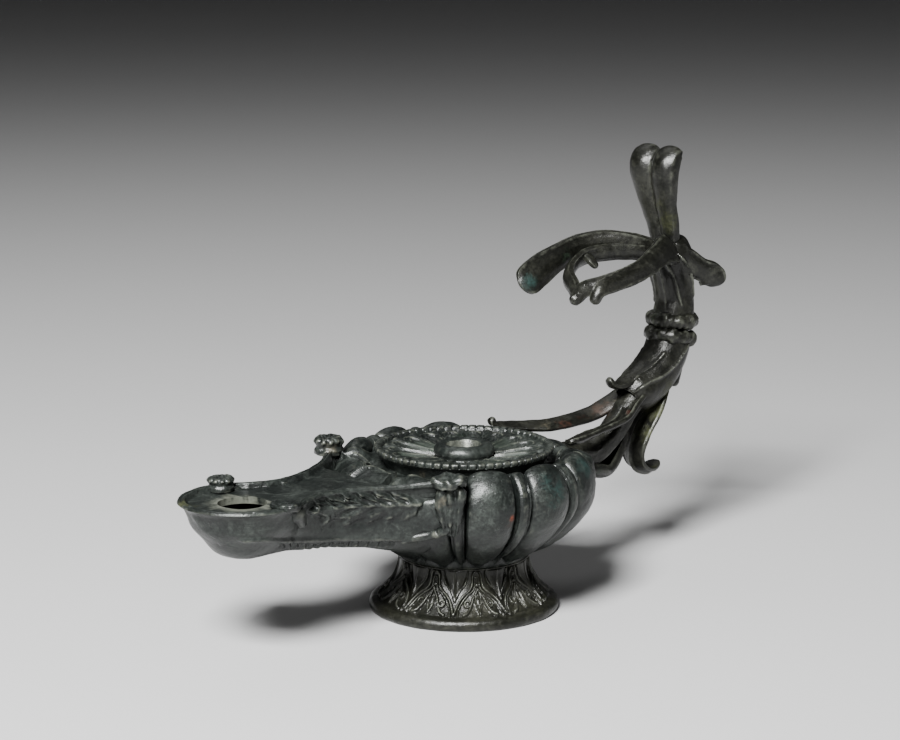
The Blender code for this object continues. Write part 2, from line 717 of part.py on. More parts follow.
def make_handle(parts, cutters):
    """The handle: a stalk from the bowl into a sheath, a collar, a bell and its leaves."""
    finish = material("handle bronze", (0.078, 0.082, 0.060), 0.40)
    handle = sweep("handle", handle_path(STALK, 8), regular(8), parts)
    handle.hide_render = False
    handle.display_type = "TEXTURED"
    handle.data.materials.append(finish)
    forms = [
        sweep("sheath", handle_path(SHEATH, 7), regular(10), cutters),
        sweep("bell", handle_path(BELL, 8), regular(10), cutters),
        sweep("rear stalk", handle_path(REAR_STALK, 5), regular(6), cutters),
        sweep("rear leaf", handle_path(REAR_LEAF, 9), BLADE, cutters),
        sweep("clasp", handle_path(CLASP, 7), regular(8), cutters),
        sweep("curl", handle_path(CURL, 6), regular(6), cutters),
        collar_rings("lower collar", 54.9, 35.2, 0.20, cutters),
        collar_rings("upper collar", 55.9, 40.6, 0.08, cutters),
    ]
    spoon_slant, slim_slant = (0.0, 0.25, -0.97), (0.0, 0.60, -0.80)
    for mirror, side, front_leaf, slant in (
        (1, "left", SPOON_LEAF, spoon_slant),
        (-1, "right", SLIM_LEAF, slim_slant),
    ):
        paths = (
            ("strut ", strut_path(mirror), BLADE),
            ("front leaf ", handle_path(front_leaf, 10, slant, mirror), BLADE),
            ("upright leaf ", handle_path(UPRIGHT, 8, (0.0, 1.0, 0.0), mirror), regular(8)),
            ("back leaf ", handle_path(BACK_LEAF, 7, (0.35, 0.5, 0.8), mirror), BLADE),
            ("tendril ", handle_path(TENDRIL, 11, (0.0, 0.45, -0.9), mirror), regular(6)),
        )
        forms += [sweep(name + side, path, section, cutters) for name, path, section in paths]
    forms.append(sweep("tongue", handle_path(TONGUE, 5, (1.0, 0.2, 0.0)), regular(6), cutters))
    mouth = sweep("sheath mouth", handle_path(SHEATH_MOUTH, 4), regular(10), cutters)
    boolean(forms[0], mouth, "DIFFERENCE")
    for form in forms:
        boolean(handle, form, "UNION")
    return handle


def make_seat(cutters):
    """The bowl a seam larger, to cut the handle where it is soldered on."""
    return loft("handle seat", bowl_rings(BOWL_ROWS, LOBE_STOPS, -SEAM), cutters)


def main():
    for old in list(bpy.data.objects):
        bpy.data.objects.remove(old, do_unlink=True)
    parts = collection("roman oil lamp")
    cutters = collection("cutters")
    make_foot(parts, cutters)
    body = make_bowl(parts)
    boolean(body, nozzle_solid("nozzle", 0.45 * BELLY_RADIUS, 13, 8, 0.0, cutters), "UNION")
    boolean(body, make_discus(cutters), "UNION")
    boolean(body, make_boss(cutters), "UNION")
    volute = (BELLY_RADIUS * math.cos(VOLUTE_ANGLE), BELLY_RADIUS * math.sin(VOLUTE_ANGLE))
    tip = (NOZZLE_REACH - 0.2 * SPOON_RADIUS, 0.82 * SPOON_RADIUS)
    for side, name, height in ((1, "left", KNOB_HEIGHT), (-1, "right", WORN_KNOB_HEIGHT)):
        places = (
            ("volute knob " + name, VOLUTE_KNOB_RADIUS, (-volute[0], side * volute[1])),
            ("tip knob " + name, TIP_KNOB_RADIUS, (-tip[0], side * tip[1])),
        )
        for label, radius, (x, y) in places:
            boolean(body, knob(label, radius, height, (x, y, nozzle_rim(-x)), cutters), "UNION")
        boolean(body, console("console " + name, side, cutters), "UNION")
    boolean(body, make_reservoir(cutters), "DIFFERENCE")
    boolean(body, nozzle_solid("nozzle channel", 0.52 * BELLY_RADIUS, 6, 5, WALL, cutters), "DIFFERENCE")
    top = DISCUS_RIM + BOSS_HEIGHT
    hole = straight_hole("filling hole", FILL_HOLE_RADIUS, 0.0, DISCUS_FOOT - WALL, top, cutters)
    boolean(body, hole, "DIFFERENCE")
    low, high = NOZZLE_RIM - 3 * WALL, NOZZLE_RIM + 2 * WALL
    wick = straight_hole("wick hole", WICK_HOLE_RADIUS, -NOZZLE_REACH, low, high, cutters)
    boolean(body, wick, "DIFFERENCE")
    handle = make_handle(parts, cutters)
    boolean(handle, make_seat(cutters), "DIFFERENCE")


main()
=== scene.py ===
# %% [markdown]
# # A Roman oil lamp in patinated bronze
#
# The lamp was cast by the lost-wax way in three pieces: a lobed bowl with its long nozzle
# and its discus, a carved foot soldered under the bowl, and a leafy handle soldered to its
# back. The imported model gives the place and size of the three. This script gives each one
# its fine carving as a dense surface, and then two thousand years of patina.

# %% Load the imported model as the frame
import json
import math

import bpy
import numpy as np
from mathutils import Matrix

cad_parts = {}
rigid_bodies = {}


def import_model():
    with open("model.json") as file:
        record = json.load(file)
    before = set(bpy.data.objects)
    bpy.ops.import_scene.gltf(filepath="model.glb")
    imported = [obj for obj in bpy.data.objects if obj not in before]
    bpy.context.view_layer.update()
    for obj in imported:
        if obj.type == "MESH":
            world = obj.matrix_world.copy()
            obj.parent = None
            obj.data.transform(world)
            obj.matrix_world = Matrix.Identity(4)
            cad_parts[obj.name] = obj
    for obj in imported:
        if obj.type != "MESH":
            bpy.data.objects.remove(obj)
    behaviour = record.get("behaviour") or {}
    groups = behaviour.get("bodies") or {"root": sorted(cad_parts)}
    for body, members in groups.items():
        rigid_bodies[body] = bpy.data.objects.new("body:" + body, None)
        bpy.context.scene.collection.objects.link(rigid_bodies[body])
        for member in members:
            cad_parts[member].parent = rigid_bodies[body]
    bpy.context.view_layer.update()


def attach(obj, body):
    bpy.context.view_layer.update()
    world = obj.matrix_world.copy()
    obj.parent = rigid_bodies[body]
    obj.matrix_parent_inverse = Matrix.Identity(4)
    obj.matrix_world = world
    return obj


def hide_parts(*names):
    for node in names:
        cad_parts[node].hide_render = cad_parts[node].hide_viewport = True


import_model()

# %% [markdown]
# ## Tools for surfaces
#
# Every form below is a grid of points, worked out at once as an array in millimetres. A grid
# could be wired up face by face in a loop, which is slow and easy to get wrong at a seam.
# Here one function makes the skin of any grid: it joins neighbours, makes points that
# coincide one, and drops the triangles that shrink to nothing there. A row that closes to a
# point or a line closes the skin, so poles and seams need no care of their own.

# %% A closed skin over a grid of points
MM = 0.001


def closed_skin(grid):
    """Points and triangles of a closed skin. grid[i, j] is joined to its neighbours, and each
    row i joins up on itself. The sign of the volume says which way the triangles face, and
    they are turned to face out."""
    rows, columns = grid.shape[:2]
    index = np.arange(rows * columns).reshape(rows, columns)
    after = np.roll(index, -1, axis=1)
    a, b, c, d = index[:-1], after[:-1], after[1:], index[1:]
    triangles = np.concatenate([np.stack(t, -1).reshape(-1, 3) for t in ((a, b, c), (a, c, d))])
    flat = grid.reshape(-1, 3)
    _, first, place = np.unique(np.round(flat, 3), axis=0, return_index=True, return_inverse=True)
    points = flat[first]
    triangles = place.ravel()[triangles]
    p, q, r = triangles.T
    triangles = triangles[(p != q) & (q != r) & (r != p)]
    corners = points[triangles]
    volume = np.einsum("ij,ij->", corners[:, 0], np.cross(corners[:, 1], corners[:, 2]))
    return points, triangles if volume > 0 else triangles[:, ::-1]


def ease(value):
    """0 below 0, 1 above 1, and a smooth step between."""
    v = np.clip(value, 0.0, 1.0)
    return v * v * (3 - 2 * v)


def smooth_curve(points, count, closed=False):
    """Catmull-Rom curve through rows of numbers, as count rows evenly spaced in parameter."""
    rows = np.asarray(points, float)
    if closed:
        padded = np.vstack([rows[-1], rows, rows[0], rows[1]])
        place = np.linspace(0, len(rows), count, endpoint=False)
        start = place.astype(int)
    else:
        padded = np.vstack([2 * rows[0] - rows[1], rows, 2 * rows[-1] - rows[-2]])
        place = np.linspace(0, len(rows) - 1, count)
        start = np.minimum(place.astype(int), len(rows) - 2)
    t = (place - start)[:, None]
    a, b, c, d = (padded[start + k] for k in range(4))
    return b + 0.5 * t * (c - a + t * (2 * a - 5 * b + 4 * c - d + t * (3 * (b - c) + d - a)))


# %% [markdown]
# Carving is drawn as lines: a raised line, a groove or a leaf's vein is a profile of the
# distance to a broken line on the surface. A sculptor would cut them one by one, and a
# displacement picture would need a file. Distances need neither, and stay sharp at any size.

# %% Lines drawn on a surface
def distance_to(u, v, line):
    """Distance from each place (u, v) to the nearest place on a broken line."""
    best = np.full(np.broadcast(u, v).shape, 1e9)
    for (a, b), (c, d) in zip(line, line[1:]):
        long = max((c - a) ** 2 + (d - b) ** 2, 1e-9)
        t = np.clip(((u - a) * (c - a) + (v - b) * (d - b)) / long, 0, 1)
        best = np.minimum(best, np.hypot(u - a - t * (c - a), v - b - t * (d - b)))
    return best


def depth_inside(u, v, outline):
    """Distance in from the edge of a closed outline, and below 0 outside it."""
    ring = [*outline, outline[0]]
    crossed = np.zeros(u.shape, int)
    for (a, b), (c, d) in zip(ring, ring[1:]):
        crossed += ((b > v) != (d > v)) & (u < a + (c - a) * (v - b) / (d - b + 1e-12))
    return distance_to(u, v, ring) * np.where(crossed % 2 == 1, 1, -1)


def soft_line(distance, half):
    """Profile of a soft raised line: a bell curve, 1 on the line and a third at half away."""
    return np.exp(-((distance / half) ** 2))


def round_line(distance, half):
    """Profile of a raised line: half a circle across, 1 on the line and 0 from half away."""
    return np.sqrt(np.clip(1 - (distance / half) ** 2, 0, 1))


def bumps(points, size, shift):
    """Unevenness of a cast surface, about -1 to 1: seven skewed sine waves around one size."""
    k = np.arange(1, 8)
    waves = np.stack([np.sin(2.4 * k + shift), np.cos(1.7 * k + 1.3 * shift), np.sin(3.1 * k + 1)])
    waves /= np.linalg.norm(waves, axis=0)
    return np.sin(points @ waves * 2 * np.pi / size * (0.6 + 0.12 * k) + 1.9 * k).mean(-1) * 2


def normals_of(points, triangles):
    """Normal at each point: the sum of the normals of the triangles round it."""
    corners = points[triangles]
    across = np.cross(corners[:, 1] - corners[:, 0], corners[:, 2] - corners[:, 0])
    total = [
        np.bincount(triangles.ravel(), np.repeat(across[:, k], 3), len(points)) for k in range(3)
    ]
    normals = np.stack(total, axis=1)
    return normals / np.maximum(np.linalg.norm(normals, axis=1), 1e-12)[:, None]


def raised(skin, height):
    """The skin moved out along its normals by a height given for each point."""
    points, triangles = skin
    return points + normals_of(points, triangles) * np.asarray(height)[:, None], triangles


def weathered(skin, amount=0.1, shift=0.0):
    """The skin with the slow unevenness of old cast metal."""
    points = skin[0]
    return raised(skin, amount * (0.7 * bumps(points, 8, shift) + 0.3 * bumps(points, 3, shift + 2)))


# %% [markdown]
# ## Joining forms into one casting
#
# On the real lamp each casting is one piece of metal, so its forms are joined into one closed
# mesh and its hollows are cut from it. The pieces could simply stand in each other, but then
# no shading could tell a groove from a ridge where they meet. Blender's Manifold solver joins
# dense closed meshes in well under a second.

# %% One closed mesh from many skins
def helper_object(name, skin):
    mesh = bpy.data.meshes.new(name)
    mesh.from_pydata(skin[0] * MM, [], skin[1].tolist())
    made = bpy.data.objects.new(name, mesh)
    bpy.context.scene.collection.objects.link(made)
    return made


def read_mesh(mesh):
    """Points in millimetres and triangles of a Blender mesh."""
    mesh.calc_loop_triangles()
    points = np.empty(len(mesh.vertices) * 3, np.float32)
    mesh.vertices.foreach_get("co", points)
    triangles = np.empty(len(mesh.loop_triangles) * 3, np.int32)
    mesh.loop_triangles.foreach_get("vertices", triangles)
    return points.reshape(-1, 3).astype(float) / MM, triangles.reshape(-1, 3)


def fused(skins, hollows=()):
    """One skin: all skins joined and every hollow taken out."""
    base = helper_object("base", skins[0])
    others = []
    for operation, group in (("UNION", skins[1:]), ("DIFFERENCE", hollows)):
        for skin in group:
            others.append(helper_object("tool", skin))
            step = base.modifiers.new("step", "BOOLEAN")
            step.operation = operation
            step.solver = "MANIFOLD"
            step.object = others[-1]
    ready = base.evaluated_get(bpy.context.evaluated_depsgraph_get())
    result = read_mesh(ready.to_mesh())
    ready.to_mesh_clear()
    for used in (base, *others):
        mesh = used.data
        bpy.data.objects.remove(used)
        bpy.data.meshes.remove(mesh)
    return result


# %% [markdown]
# A worn ridge is bare and light, a groove keeps its dirt, and broad hollows get painted shade.
# A baked picture could say where they are, but it would be a file. So each finished mesh
# carries how hollow it is at each point, and stains of old corrosion where the lamp shows
# them. Both are attributes, which the material reads. Flat places need few triangles, so the
# densest mesh is thinned there last.

# %% How hollow a surface is
def edge_list(triangles):
    ends = np.concatenate([triangles[:, [0, 1]], triangles[:, [1, 2]], triangles[:, [2, 0]]])
    return np.unique(np.sort(ends, axis=1), axis=0)


def mean_of_neighbours(values, edges):
    """Mean over each point and the points that it has an edge to."""
    total, count = values.copy(), np.ones(len(values))
    for here, there in (edges.T, edges.T[::-1]):
        total += np.bincount(here, values[there], len(values))
        count += np.bincount(here, minlength=len(values))
    return total / count


def hollowness(points, triangles, spread):
    """How much a point lies below the points round it: the mean slope, along its edges, up
    from its own tangent plane. It is spread over its neighbours a few times."""
    edges = edge_list(triangles)
    normals = normals_of(points, triangles)
    total, count = np.zeros(len(points)), np.full(len(points), 1e-9)
    for here, there in (edges.T, edges.T[::-1]):
        step = points[there] - points[here]
        slope = np.einsum("ij,ij->i", step, normals[here]) / (np.linalg.norm(step, axis=1) + 0.15)
        total += np.bincount(here, slope, len(points))
        count += np.bincount(here, minlength=len(points))
    value = total / count
    for _ in range(spread):
        value = mean_of_neighbours(value, edges)
    return value


def softened(skin, passes=2, share=0.5, deep=0.05):
    """The skin with its inside corners filled a little, as solder and wax fill them: points
    that lie hollow move to the mean of their neighbours."""
    points, triangles = skin
    edges = edge_list(triangles)
    for _ in range(passes):
        pull = share * ease((hollowness(points, triangles, 2) - deep) / deep)
        mean = np.stack([mean_of_neighbours(points[:, k], edges) for k in range(3)], axis=1)
        points = points + (mean - points) * pull[:, None]
    return points, triangles


# %% A finished piece
STAINS = []
MOST_TRIANGLES = 190000


def thinned(mesh, count):
    """The mesh with its triangles brought down to a count, flat places first. What its points
    carry stays with them."""
    holder = bpy.data.objects.new("holder", mesh)
    bpy.context.scene.collection.objects.link(holder)
    fewer = holder.modifiers.new("fewer", "DECIMATE")
    fewer.ratio = min(1.0, count / len(mesh.polygons))
    ready = holder.evaluated_get(bpy.context.evaluated_depsgraph_get())
    result = bpy.data.meshes.new_from_object(ready)
    bpy.data.objects.remove(holder)
    bpy.data.meshes.remove(mesh)
    return result


def finished(name, node, skin, material):
    """A mesh object at the origin, with its hollows and its stains as attributes. It takes the
    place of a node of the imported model."""
    points, triangles = skin
    mesh = bpy.data.meshes.new(name)
    mesh.from_pydata(points * MM, [], triangles.tolist())
    mesh.validate()
    fine = hollowness(points, triangles, 1)
    # The broad hollowness sets where shade is painted; the fine one sets dust and wear.
    broad = hollowness(points, triangles, 8)
    for label, value in (("hollow", 0.5 + 1.1 * fine), ("hollow_broad", 0.5 + 2.6 * broad)):
        layer = mesh.attributes.new(label, "FLOAT", "POINT")
        layer.data.foreach_set("value", np.clip(value, 0, 1).astype(np.float32))
    colour = np.zeros((len(points), 4), np.float32)
    for x, y, z, radius, tint, strength in STAINS:
        reach = np.linalg.norm(points - (x, y, z), axis=1) / radius
        amount = strength * np.exp(-(reach**2) * 1.2)
        stronger = amount > colour[:, 3]
        colour[stronger] = np.column_stack([np.tile(tint, (stronger.sum(), 1)), amount[stronger]])
    layer = mesh.attributes.new("stain", "FLOAT_COLOR", "POINT")
    layer.data.foreach_set("color", colour.ravel())
    mesh.materials.append(material)
    mesh = thinned(mesh, MOST_TRIANGLES)
    mesh.name = name
    mesh.shade_smooth()
    mesh.set_sharp_from_angle(angle=math.radians(55))
    made = bpy.data.objects.new(name, mesh)
    bpy.context.scene.collection.objects.link(made)
    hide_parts(node)
    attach(made, "root")
    low, high = points.min(0), points.max(0)
    print(name, len(mesh.polygons), "triangles, from", low.round(2), "to", high.round(2), "mm")
    return made


# %% [markdown]
# ## Patina
#
# Two thousand years in the ground turned the bronze's skin into dark green-grey minerals. It
# has clouds of darker and paler film, fine pits, dull dust in its grooves, worn ridges where
# the metal is closer, and a few spots of red, blue-green, olive and earth. A painted texture
# would need a picture. Noise and the mesh's own attributes give the same, at any distance.

# %% Small tools for shader nodes
def add_node(tree, kind, settings=(), **inputs):
    """A node with its inputs set: a number or colour, or another node's output to link."""
    made = tree.nodes.new(kind)
    for name, value in settings:
        setattr(made, name, value)
    for name, value in inputs.items():
        entry = made.inputs[int(name[1:])] if name[0] == "_" else made.inputs[name.replace("_", " ")]
        if isinstance(value, bpy.types.NodeSocket):
            tree.links.new(value, entry)
        else:
            entry.default_value = value
    return made


def calculate(tree, operation, first, second):
    settings = (("operation", operation),)
    return add_node(tree, "ShaderNodeMath", settings, _0=first, _1=second).outputs[0]


def product(tree, first, *others):
    """All the values multiplied."""
    for other in others:
        first = calculate(tree, "MULTIPLY", first, other)
    return first


def smooth_range(tree, value, low, high, to_low=0.0, to_high=1.0):
    """Value from low to high made a smooth step from to_low to to_high."""
    settings = (("interpolation_type", "SMOOTHSTEP"),)
    made = add_node(tree, "ShaderNodeMapRange", settings, Value=value, From_Min=low, From_Max=high)
    made.inputs["To Min"].default_value = to_low
    made.inputs["To Max"].default_value = to_high
    return made.outputs["Result"]


def blend(tree, factor, first, second, kind="MIX"):
    """Two colours mixed by a factor."""
    settings = (("data_type", "RGBA"), ("blend_type", kind))
    return add_node(tree, "ShaderNodeMix", settings, _0=factor, _6=first, _7=second).outputs[2]


def noise(tree, place, scale, detail=6.0, rough=0.6, warp=0.0):
    made = add_node(tree, "ShaderNodeTexNoise", Vector=place, Scale=scale, Detail=detail)
    made.inputs["Roughness"].default_value = rough
    made.inputs["Distortion"].default_value = warp
    return made.outputs["Fac"]


def shader_group(name, inputs, outputs):
    """An empty node group with named sockets, and its two end nodes."""
    tree = bpy.data.node_groups.new(name, "ShaderNodeTree")
    kinds = {"number": "NodeSocketFloat", "colour": "NodeSocketColor"}
    for label, kind in inputs:
        tree.interface.new_socket(label, in_out="INPUT", socket_type=kinds[kind])
    for label, kind in outputs:
        tree.interface.new_socket(label, in_out="OUTPUT", socket_type=kinds[kind])
    return tree, tree.nodes.new("NodeGroupInput"), tree.nodes.new("NodeGroupOutput")


def send_out(tree, end, **values):
    for name, value in values.items():
        tree.links.new(value, end.inputs[name.replace("_", " ")])


# %% Clouds of mineral film
def make_film_group():
    """Three colours in clouds of three sizes. Puts out the colour and how much pale film lies."""
    tree, start, end = shader_group(
        "mineral film",
        [("Dark", "colour"), ("Middle", "colour"), ("Pale", "colour"), ("Cover", "number")],
        [("Colour", "colour"), ("Film", "number")],
    )
    place = tree.nodes.new("ShaderNodeTexCoord").outputs["Object"]
    clouds = smooth_range(tree, noise(tree, place, 46, 8, 0.66, 0.6), 0.40, 0.62)
    patches = smooth_range(tree, noise(tree, place, 150, 9, 0.74, 0.9), 0.48, 0.68)
    grain = noise(tree, place, 900, 6, 0.8)
    base = blend(tree, clouds, start.outputs["Dark"], start.outputs["Middle"])
    film = product(tree, patches, start.outputs["Cover"])
    base = blend(tree, film, base, start.outputs["Pale"])
    speck = smooth_range(tree, grain, 0.34, 0.68, 0.50, 1.55)
    toned = blend(tree, 1.0, base, speck, "MULTIPLY")
    salt = smooth_range(tree, noise(tree, place, 1900, 3, 0.6), 0.66, 0.76, 0.0, 0.5)
    toned = blend(tree, salt, toned, start.outputs["Pale"])
    send_out(tree, end, Colour=toned, Film=film)
    return tree


# %% Painted shade in broad hollows, dust in the grooves, wear on the ridges
def make_wear_group():
    """Reads how hollow the surface is. Broad hollows darken as painted shade, grooves go pale with dust, and
    ridges wear.
    """
    tree, start, end = shader_group(
        "grooves and ridges",
        [("Colour", "colour"), ("Dust", "colour"), ("Worn", "colour"), ("Amount", "number")],
        [("Colour", "colour"), ("Dust", "number"), ("Wear", "number")],
    )
    place = tree.nodes.new("ShaderNodeTexCoord").outputs["Object"]
    fine = add_node(tree, "ShaderNodeAttribute", (("attribute_name", "hollow"),)).outputs["Fac"]
    broad = add_node(tree, "ShaderNodeAttribute", (("attribute_name", "hollow_broad"),)).outputs["Fac"]
    ragged = noise(tree, place, 420, 5, 0.7)
    shift = smooth_range(tree, ragged, 0.2, 0.8, -0.07, 0.07)
    uneven = calculate(tree, "ADD", fine, shift)
    # Painted shade: broad hollows are darkened, as ambient occlusion would darken them.
    deep = smooth_range(tree, broad, 0.53, 0.78)
    dark = blend(tree, 1.0, start.outputs["Colour"], (0.40, 0.42, 0.40, 1), "MULTIPLY")
    shaded = blend(tree, product(tree, deep, 0.85), start.outputs["Colour"], dark)
    dust = smooth_range(tree, uneven, 0.60, 0.86)
    patchy = smooth_range(tree, noise(tree, place, 90, 4, 0.6), 0.45, 0.66)
    dust = product(tree, dust, patchy, start.outputs["Amount"])
    dusty = blend(tree, dust, shaded, start.outputs["Dust"])
    wear = smooth_range(tree, uneven, 0.455, 0.26)
    wear = product(tree, wear, start.outputs["Amount"])
    worn = blend(tree, wear, dusty, start.outputs["Worn"])
    send_out(tree, end, Colour=worn, Dust=dust, Wear=wear)
    return tree


# %% Stains of old corrosion
def make_stain_group():
    """Mixes in the colour that the mesh carries, with a ragged edge."""
    tree, start, end = shader_group(
        "stains", [("Colour", "colour")], [("Colour", "colour"), ("Stain", "number")]
    )
    place = tree.nodes.new("ShaderNodeTexCoord").outputs["Object"]
    mark = add_node(tree, "ShaderNodeAttribute", (("attribute_name", "stain"),))
    ragged = smooth_range(tree, noise(tree, place, 300, 8, 0.75, 0.6), 0.2, 0.8, -0.32, 0.32)
    edge = calculate(tree, "ADD", mark.outputs["Alpha"], ragged)
    amount = smooth_range(tree, edge, 0.30, 0.85, 0.0, 0.85)
    amount = product(tree, amount, calculate(tree, "GREATER_THAN", mark.outputs["Alpha"], 0.02))
    grain = smooth_range(tree, noise(tree, place, 700, 6, 0.8), 0.32, 0.70, 0.45, 1.35)
    tint = blend(tree, 1.0, mark.outputs["Color"], grain, "MULTIPLY")
    stained = blend(tree, amount, start.outputs["Colour"], tint)
    send_out(tree, end, Colour=stained, Stain=amount)
    return tree


# %% Pits and grain
def make_pit_group():
    """Height of the corroded skin: grain, small pits where the noise dips, and soft dents."""
    tree, start, end = shader_group(
        "pitted skin", [("Pitting", "number")], [("Height", "number"), ("Pits", "number")]
    )
    place = tree.nodes.new("ShaderNodeTexCoord").outputs["Object"]
    grain = noise(tree, place, 1300, 5, 0.75)
    dents = noise(tree, place, 300, 5, 0.65)
    cells = add_node(tree, "ShaderNodeTexVoronoi", Vector=place, Scale=520.0, Randomness=1.0)
    pits = smooth_range(tree, cells.outputs["Distance"], 0.05, 0.30, 1.0, 0.0)
    where = smooth_range(tree, noise(tree, place, 75, 5, 0.65), 0.50, 0.68)
    pits = product(tree, pits, where, start.outputs["Pitting"])
    height = calculate(tree, "ADD", product(tree, grain, 0.35), product(tree, dents, 0.8))
    height = calculate(tree, "SUBTRACT", height, product(tree, pits, 0.9))
    send_out(tree, end, Height=height, Pits=pits)
    return tree


film_group, wear_group = make_film_group(), make_wear_group()
stain_group, pit_group = make_stain_group(), make_pit_group()
print("shader groups:", [g.name for g in (film_group, wear_group, stain_group, pit_group)])


# %% One bronze for each casting
DUST_COLOUR = (0.052, 0.053, 0.040, 1)
WORN_COLOUR = (0.135, 0.142, 0.115, 1)
PIT_COLOUR = (0.012, 0.013, 0.010, 1)


def place_group(tree, group, **inputs):
    made = add_node(tree, "ShaderNodeGroup", (("node_tree", group),))
    for name, value in inputs.items():
        entry = made.inputs[name]
        if isinstance(value, bpy.types.NodeSocket):
            tree.links.new(value, entry)
        else:
            entry.default_value = value
    return made.outputs


def old_bronze(name, dark, middle, pale, cover, wear, gloss, pitting):
    """Old bronze: film, stains, dust and wear set its colour, and the same masks its gloss."""
    made = bpy.data.materials.new(name)
    made.use_nodes = True
    tree = made.node_tree
    shader = tree.nodes["Principled BSDF"]
    shader.inputs["Metallic"].default_value = 0.30
    shader.inputs["IOR"].default_value = 1.45
    colours = {"Dark": (*dark, 1), "Middle": (*middle, 1), "Pale": (*pale, 1)}
    film = place_group(tree, film_group, Cover=cover, **colours)
    stained = place_group(tree, stain_group, Colour=film["Colour"])
    worn = place_group(
        tree, wear_group, Colour=stained["Colour"], Dust=DUST_COLOUR, Worn=WORN_COLOUR, Amount=wear
    )
    skin = place_group(tree, pit_group, Pitting=pitting)
    pitted = blend(tree, product(tree, skin["Pits"], 0.6), worn["Colour"], PIT_COLOUR)
    tree.links.new(pitted, shader.inputs["Base Color"])
    rough = gloss
    for mask, rise in ((film["Film"], 0.16), (worn["Dust"], 0.35), (stained["Stain"], 0.30)):
        rough = calculate(tree, "ADD", rough, product(tree, mask, rise))
    tree.links.new(rough, shader.inputs["Roughness"])
    bump = add_node(tree, "ShaderNodeBump", Strength=0.75, Distance=0.00035, Height=skin["Height"])
    tree.links.new(bump.outputs["Normal"], shader.inputs["Normal"])
    return made


# Dark, middle and pale film; how much pale film, wear, roughness and pitting.
bowl_bronze = old_bronze(
    "bowl bronze",
    (0.0058, 0.0073, 0.0066), (0.0155, 0.0185, 0.0163), (0.042, 0.049, 0.043),
    0.55, 0.66, 0.33, 0.9,
)
foot_bronze = old_bronze(
    "foot bronze",
    (0.0058, 0.0061, 0.0043), (0.0135, 0.0138, 0.0094), (0.034, 0.034, 0.025),
    0.40, 0.50, 0.32, 0.6,
)
handle_bronze = old_bronze(
    "handle bronze",
    (0.0045, 0.0047, 0.0036), (0.0110, 0.0112, 0.0086), (0.029, 0.030, 0.023),
    0.45, 0.50, 0.31, 0.7,
)
print("materials:", [m.name for m in (bowl_bronze, foot_bronze, handle_bronze)])

# %% [markdown]
# ## The foot
#
# The foot is a flaring ring with a round rim, and its slope is carved with ten arches. Each
# arch holds a hanging bud, and a broad leaf hangs between two arches. It could be turned
# plain and given a displacement picture. Here it is a grid round the axis, and the carving is
# worked out as raised lines and rounded leaves on one unit, repeated by the angle.

# %% Sizes that all three castings share, in millimetres
SEAM = 0.3
WALL = 2.0
NECK_RADIUS = 20.3
FOOT_HEIGHT = 17.0
BOWL_BASE = FOOT_HEIGHT + SEAM


def around(radii, heights, angles):
    """Grid of points about the Z axis: radius and height for each row, or for each point."""
    radii, heights = np.broadcast_arrays(radii, heights)
    if radii.ndim == 1:
        radii, heights = radii[:, None], heights[:, None]
    radii, heights = (np.broadcast_to(a, (len(radii), len(angles))) for a in (radii, heights))
    return np.stack([radii * np.cos(angles), radii * np.sin(angles), heights], axis=-1)


def turned(profile, columns, place=(0, 0, 0)):
    """Grid of a solid of revolution about an upright axis through place."""
    profile = np.asarray(profile, float)
    angles = np.arange(columns) * 2 * np.pi / columns
    return around(profile[:, 0], profile[:, 1], angles) + np.asarray(place, float)


# %% The carving of the foot
FOOT_RADIUS = 30.0
FOOT_RING_RADIUS = 24.5
FOOT_RIM_HEIGHT = 3.7
FOOT_RIM_STEP = 2.0
# The rim's section: distance in from its edge, and height.
FOOT_RIM = [(1.1, 0.0), (0.5, 0.12), (0.05, 0.8), (0.0, 1.5), (0.2, 2.4), (0.7, 3.1), (1.4, 3.5), (2.0, 3.7)]
FOOT_LEAVES = 10
FOOT_TURN = math.radians(23)
UNIT_WIDE = 14.5
UNIT_TALL = 13.3
# Lines of half a unit: millimetres out from its middle, and up from the rim.
ARCH = [
    (0, 12.9), (0.9, 12.6), (1.45, 11.4), (1.6, 9.8), (1.9, 8.2), (2.9, 6.9), (4.5, 5.7),
    (6.0, 3.9), (7.1, 1.0),
]
INNER_ARCH = [
    (0, 11.0), (0.55, 10.8), (0.75, 9.4), (0.9, 8.0), (1.7, 6.9), (3.2, 5.9), (4.7, 4.4),
    (5.9, 2.4), (6.2, 0.6),
]
BUD = [(0, 7.6), (0.55, 6.0), (0.8, 4.4), (0.5, 2.6), (0, 1.2)]
SIDE_PETAL = [(0.2, 6.9), (1.6, 5.0), (2.3, 3.2), (3.4, 1.4), (4.6, 0.8)]
LEAF_EDGE = [(3.0, 12.8), (3.3, 10.6), (4.3, 8.6), (5.8, 6.9), (7.25, 4.2)]


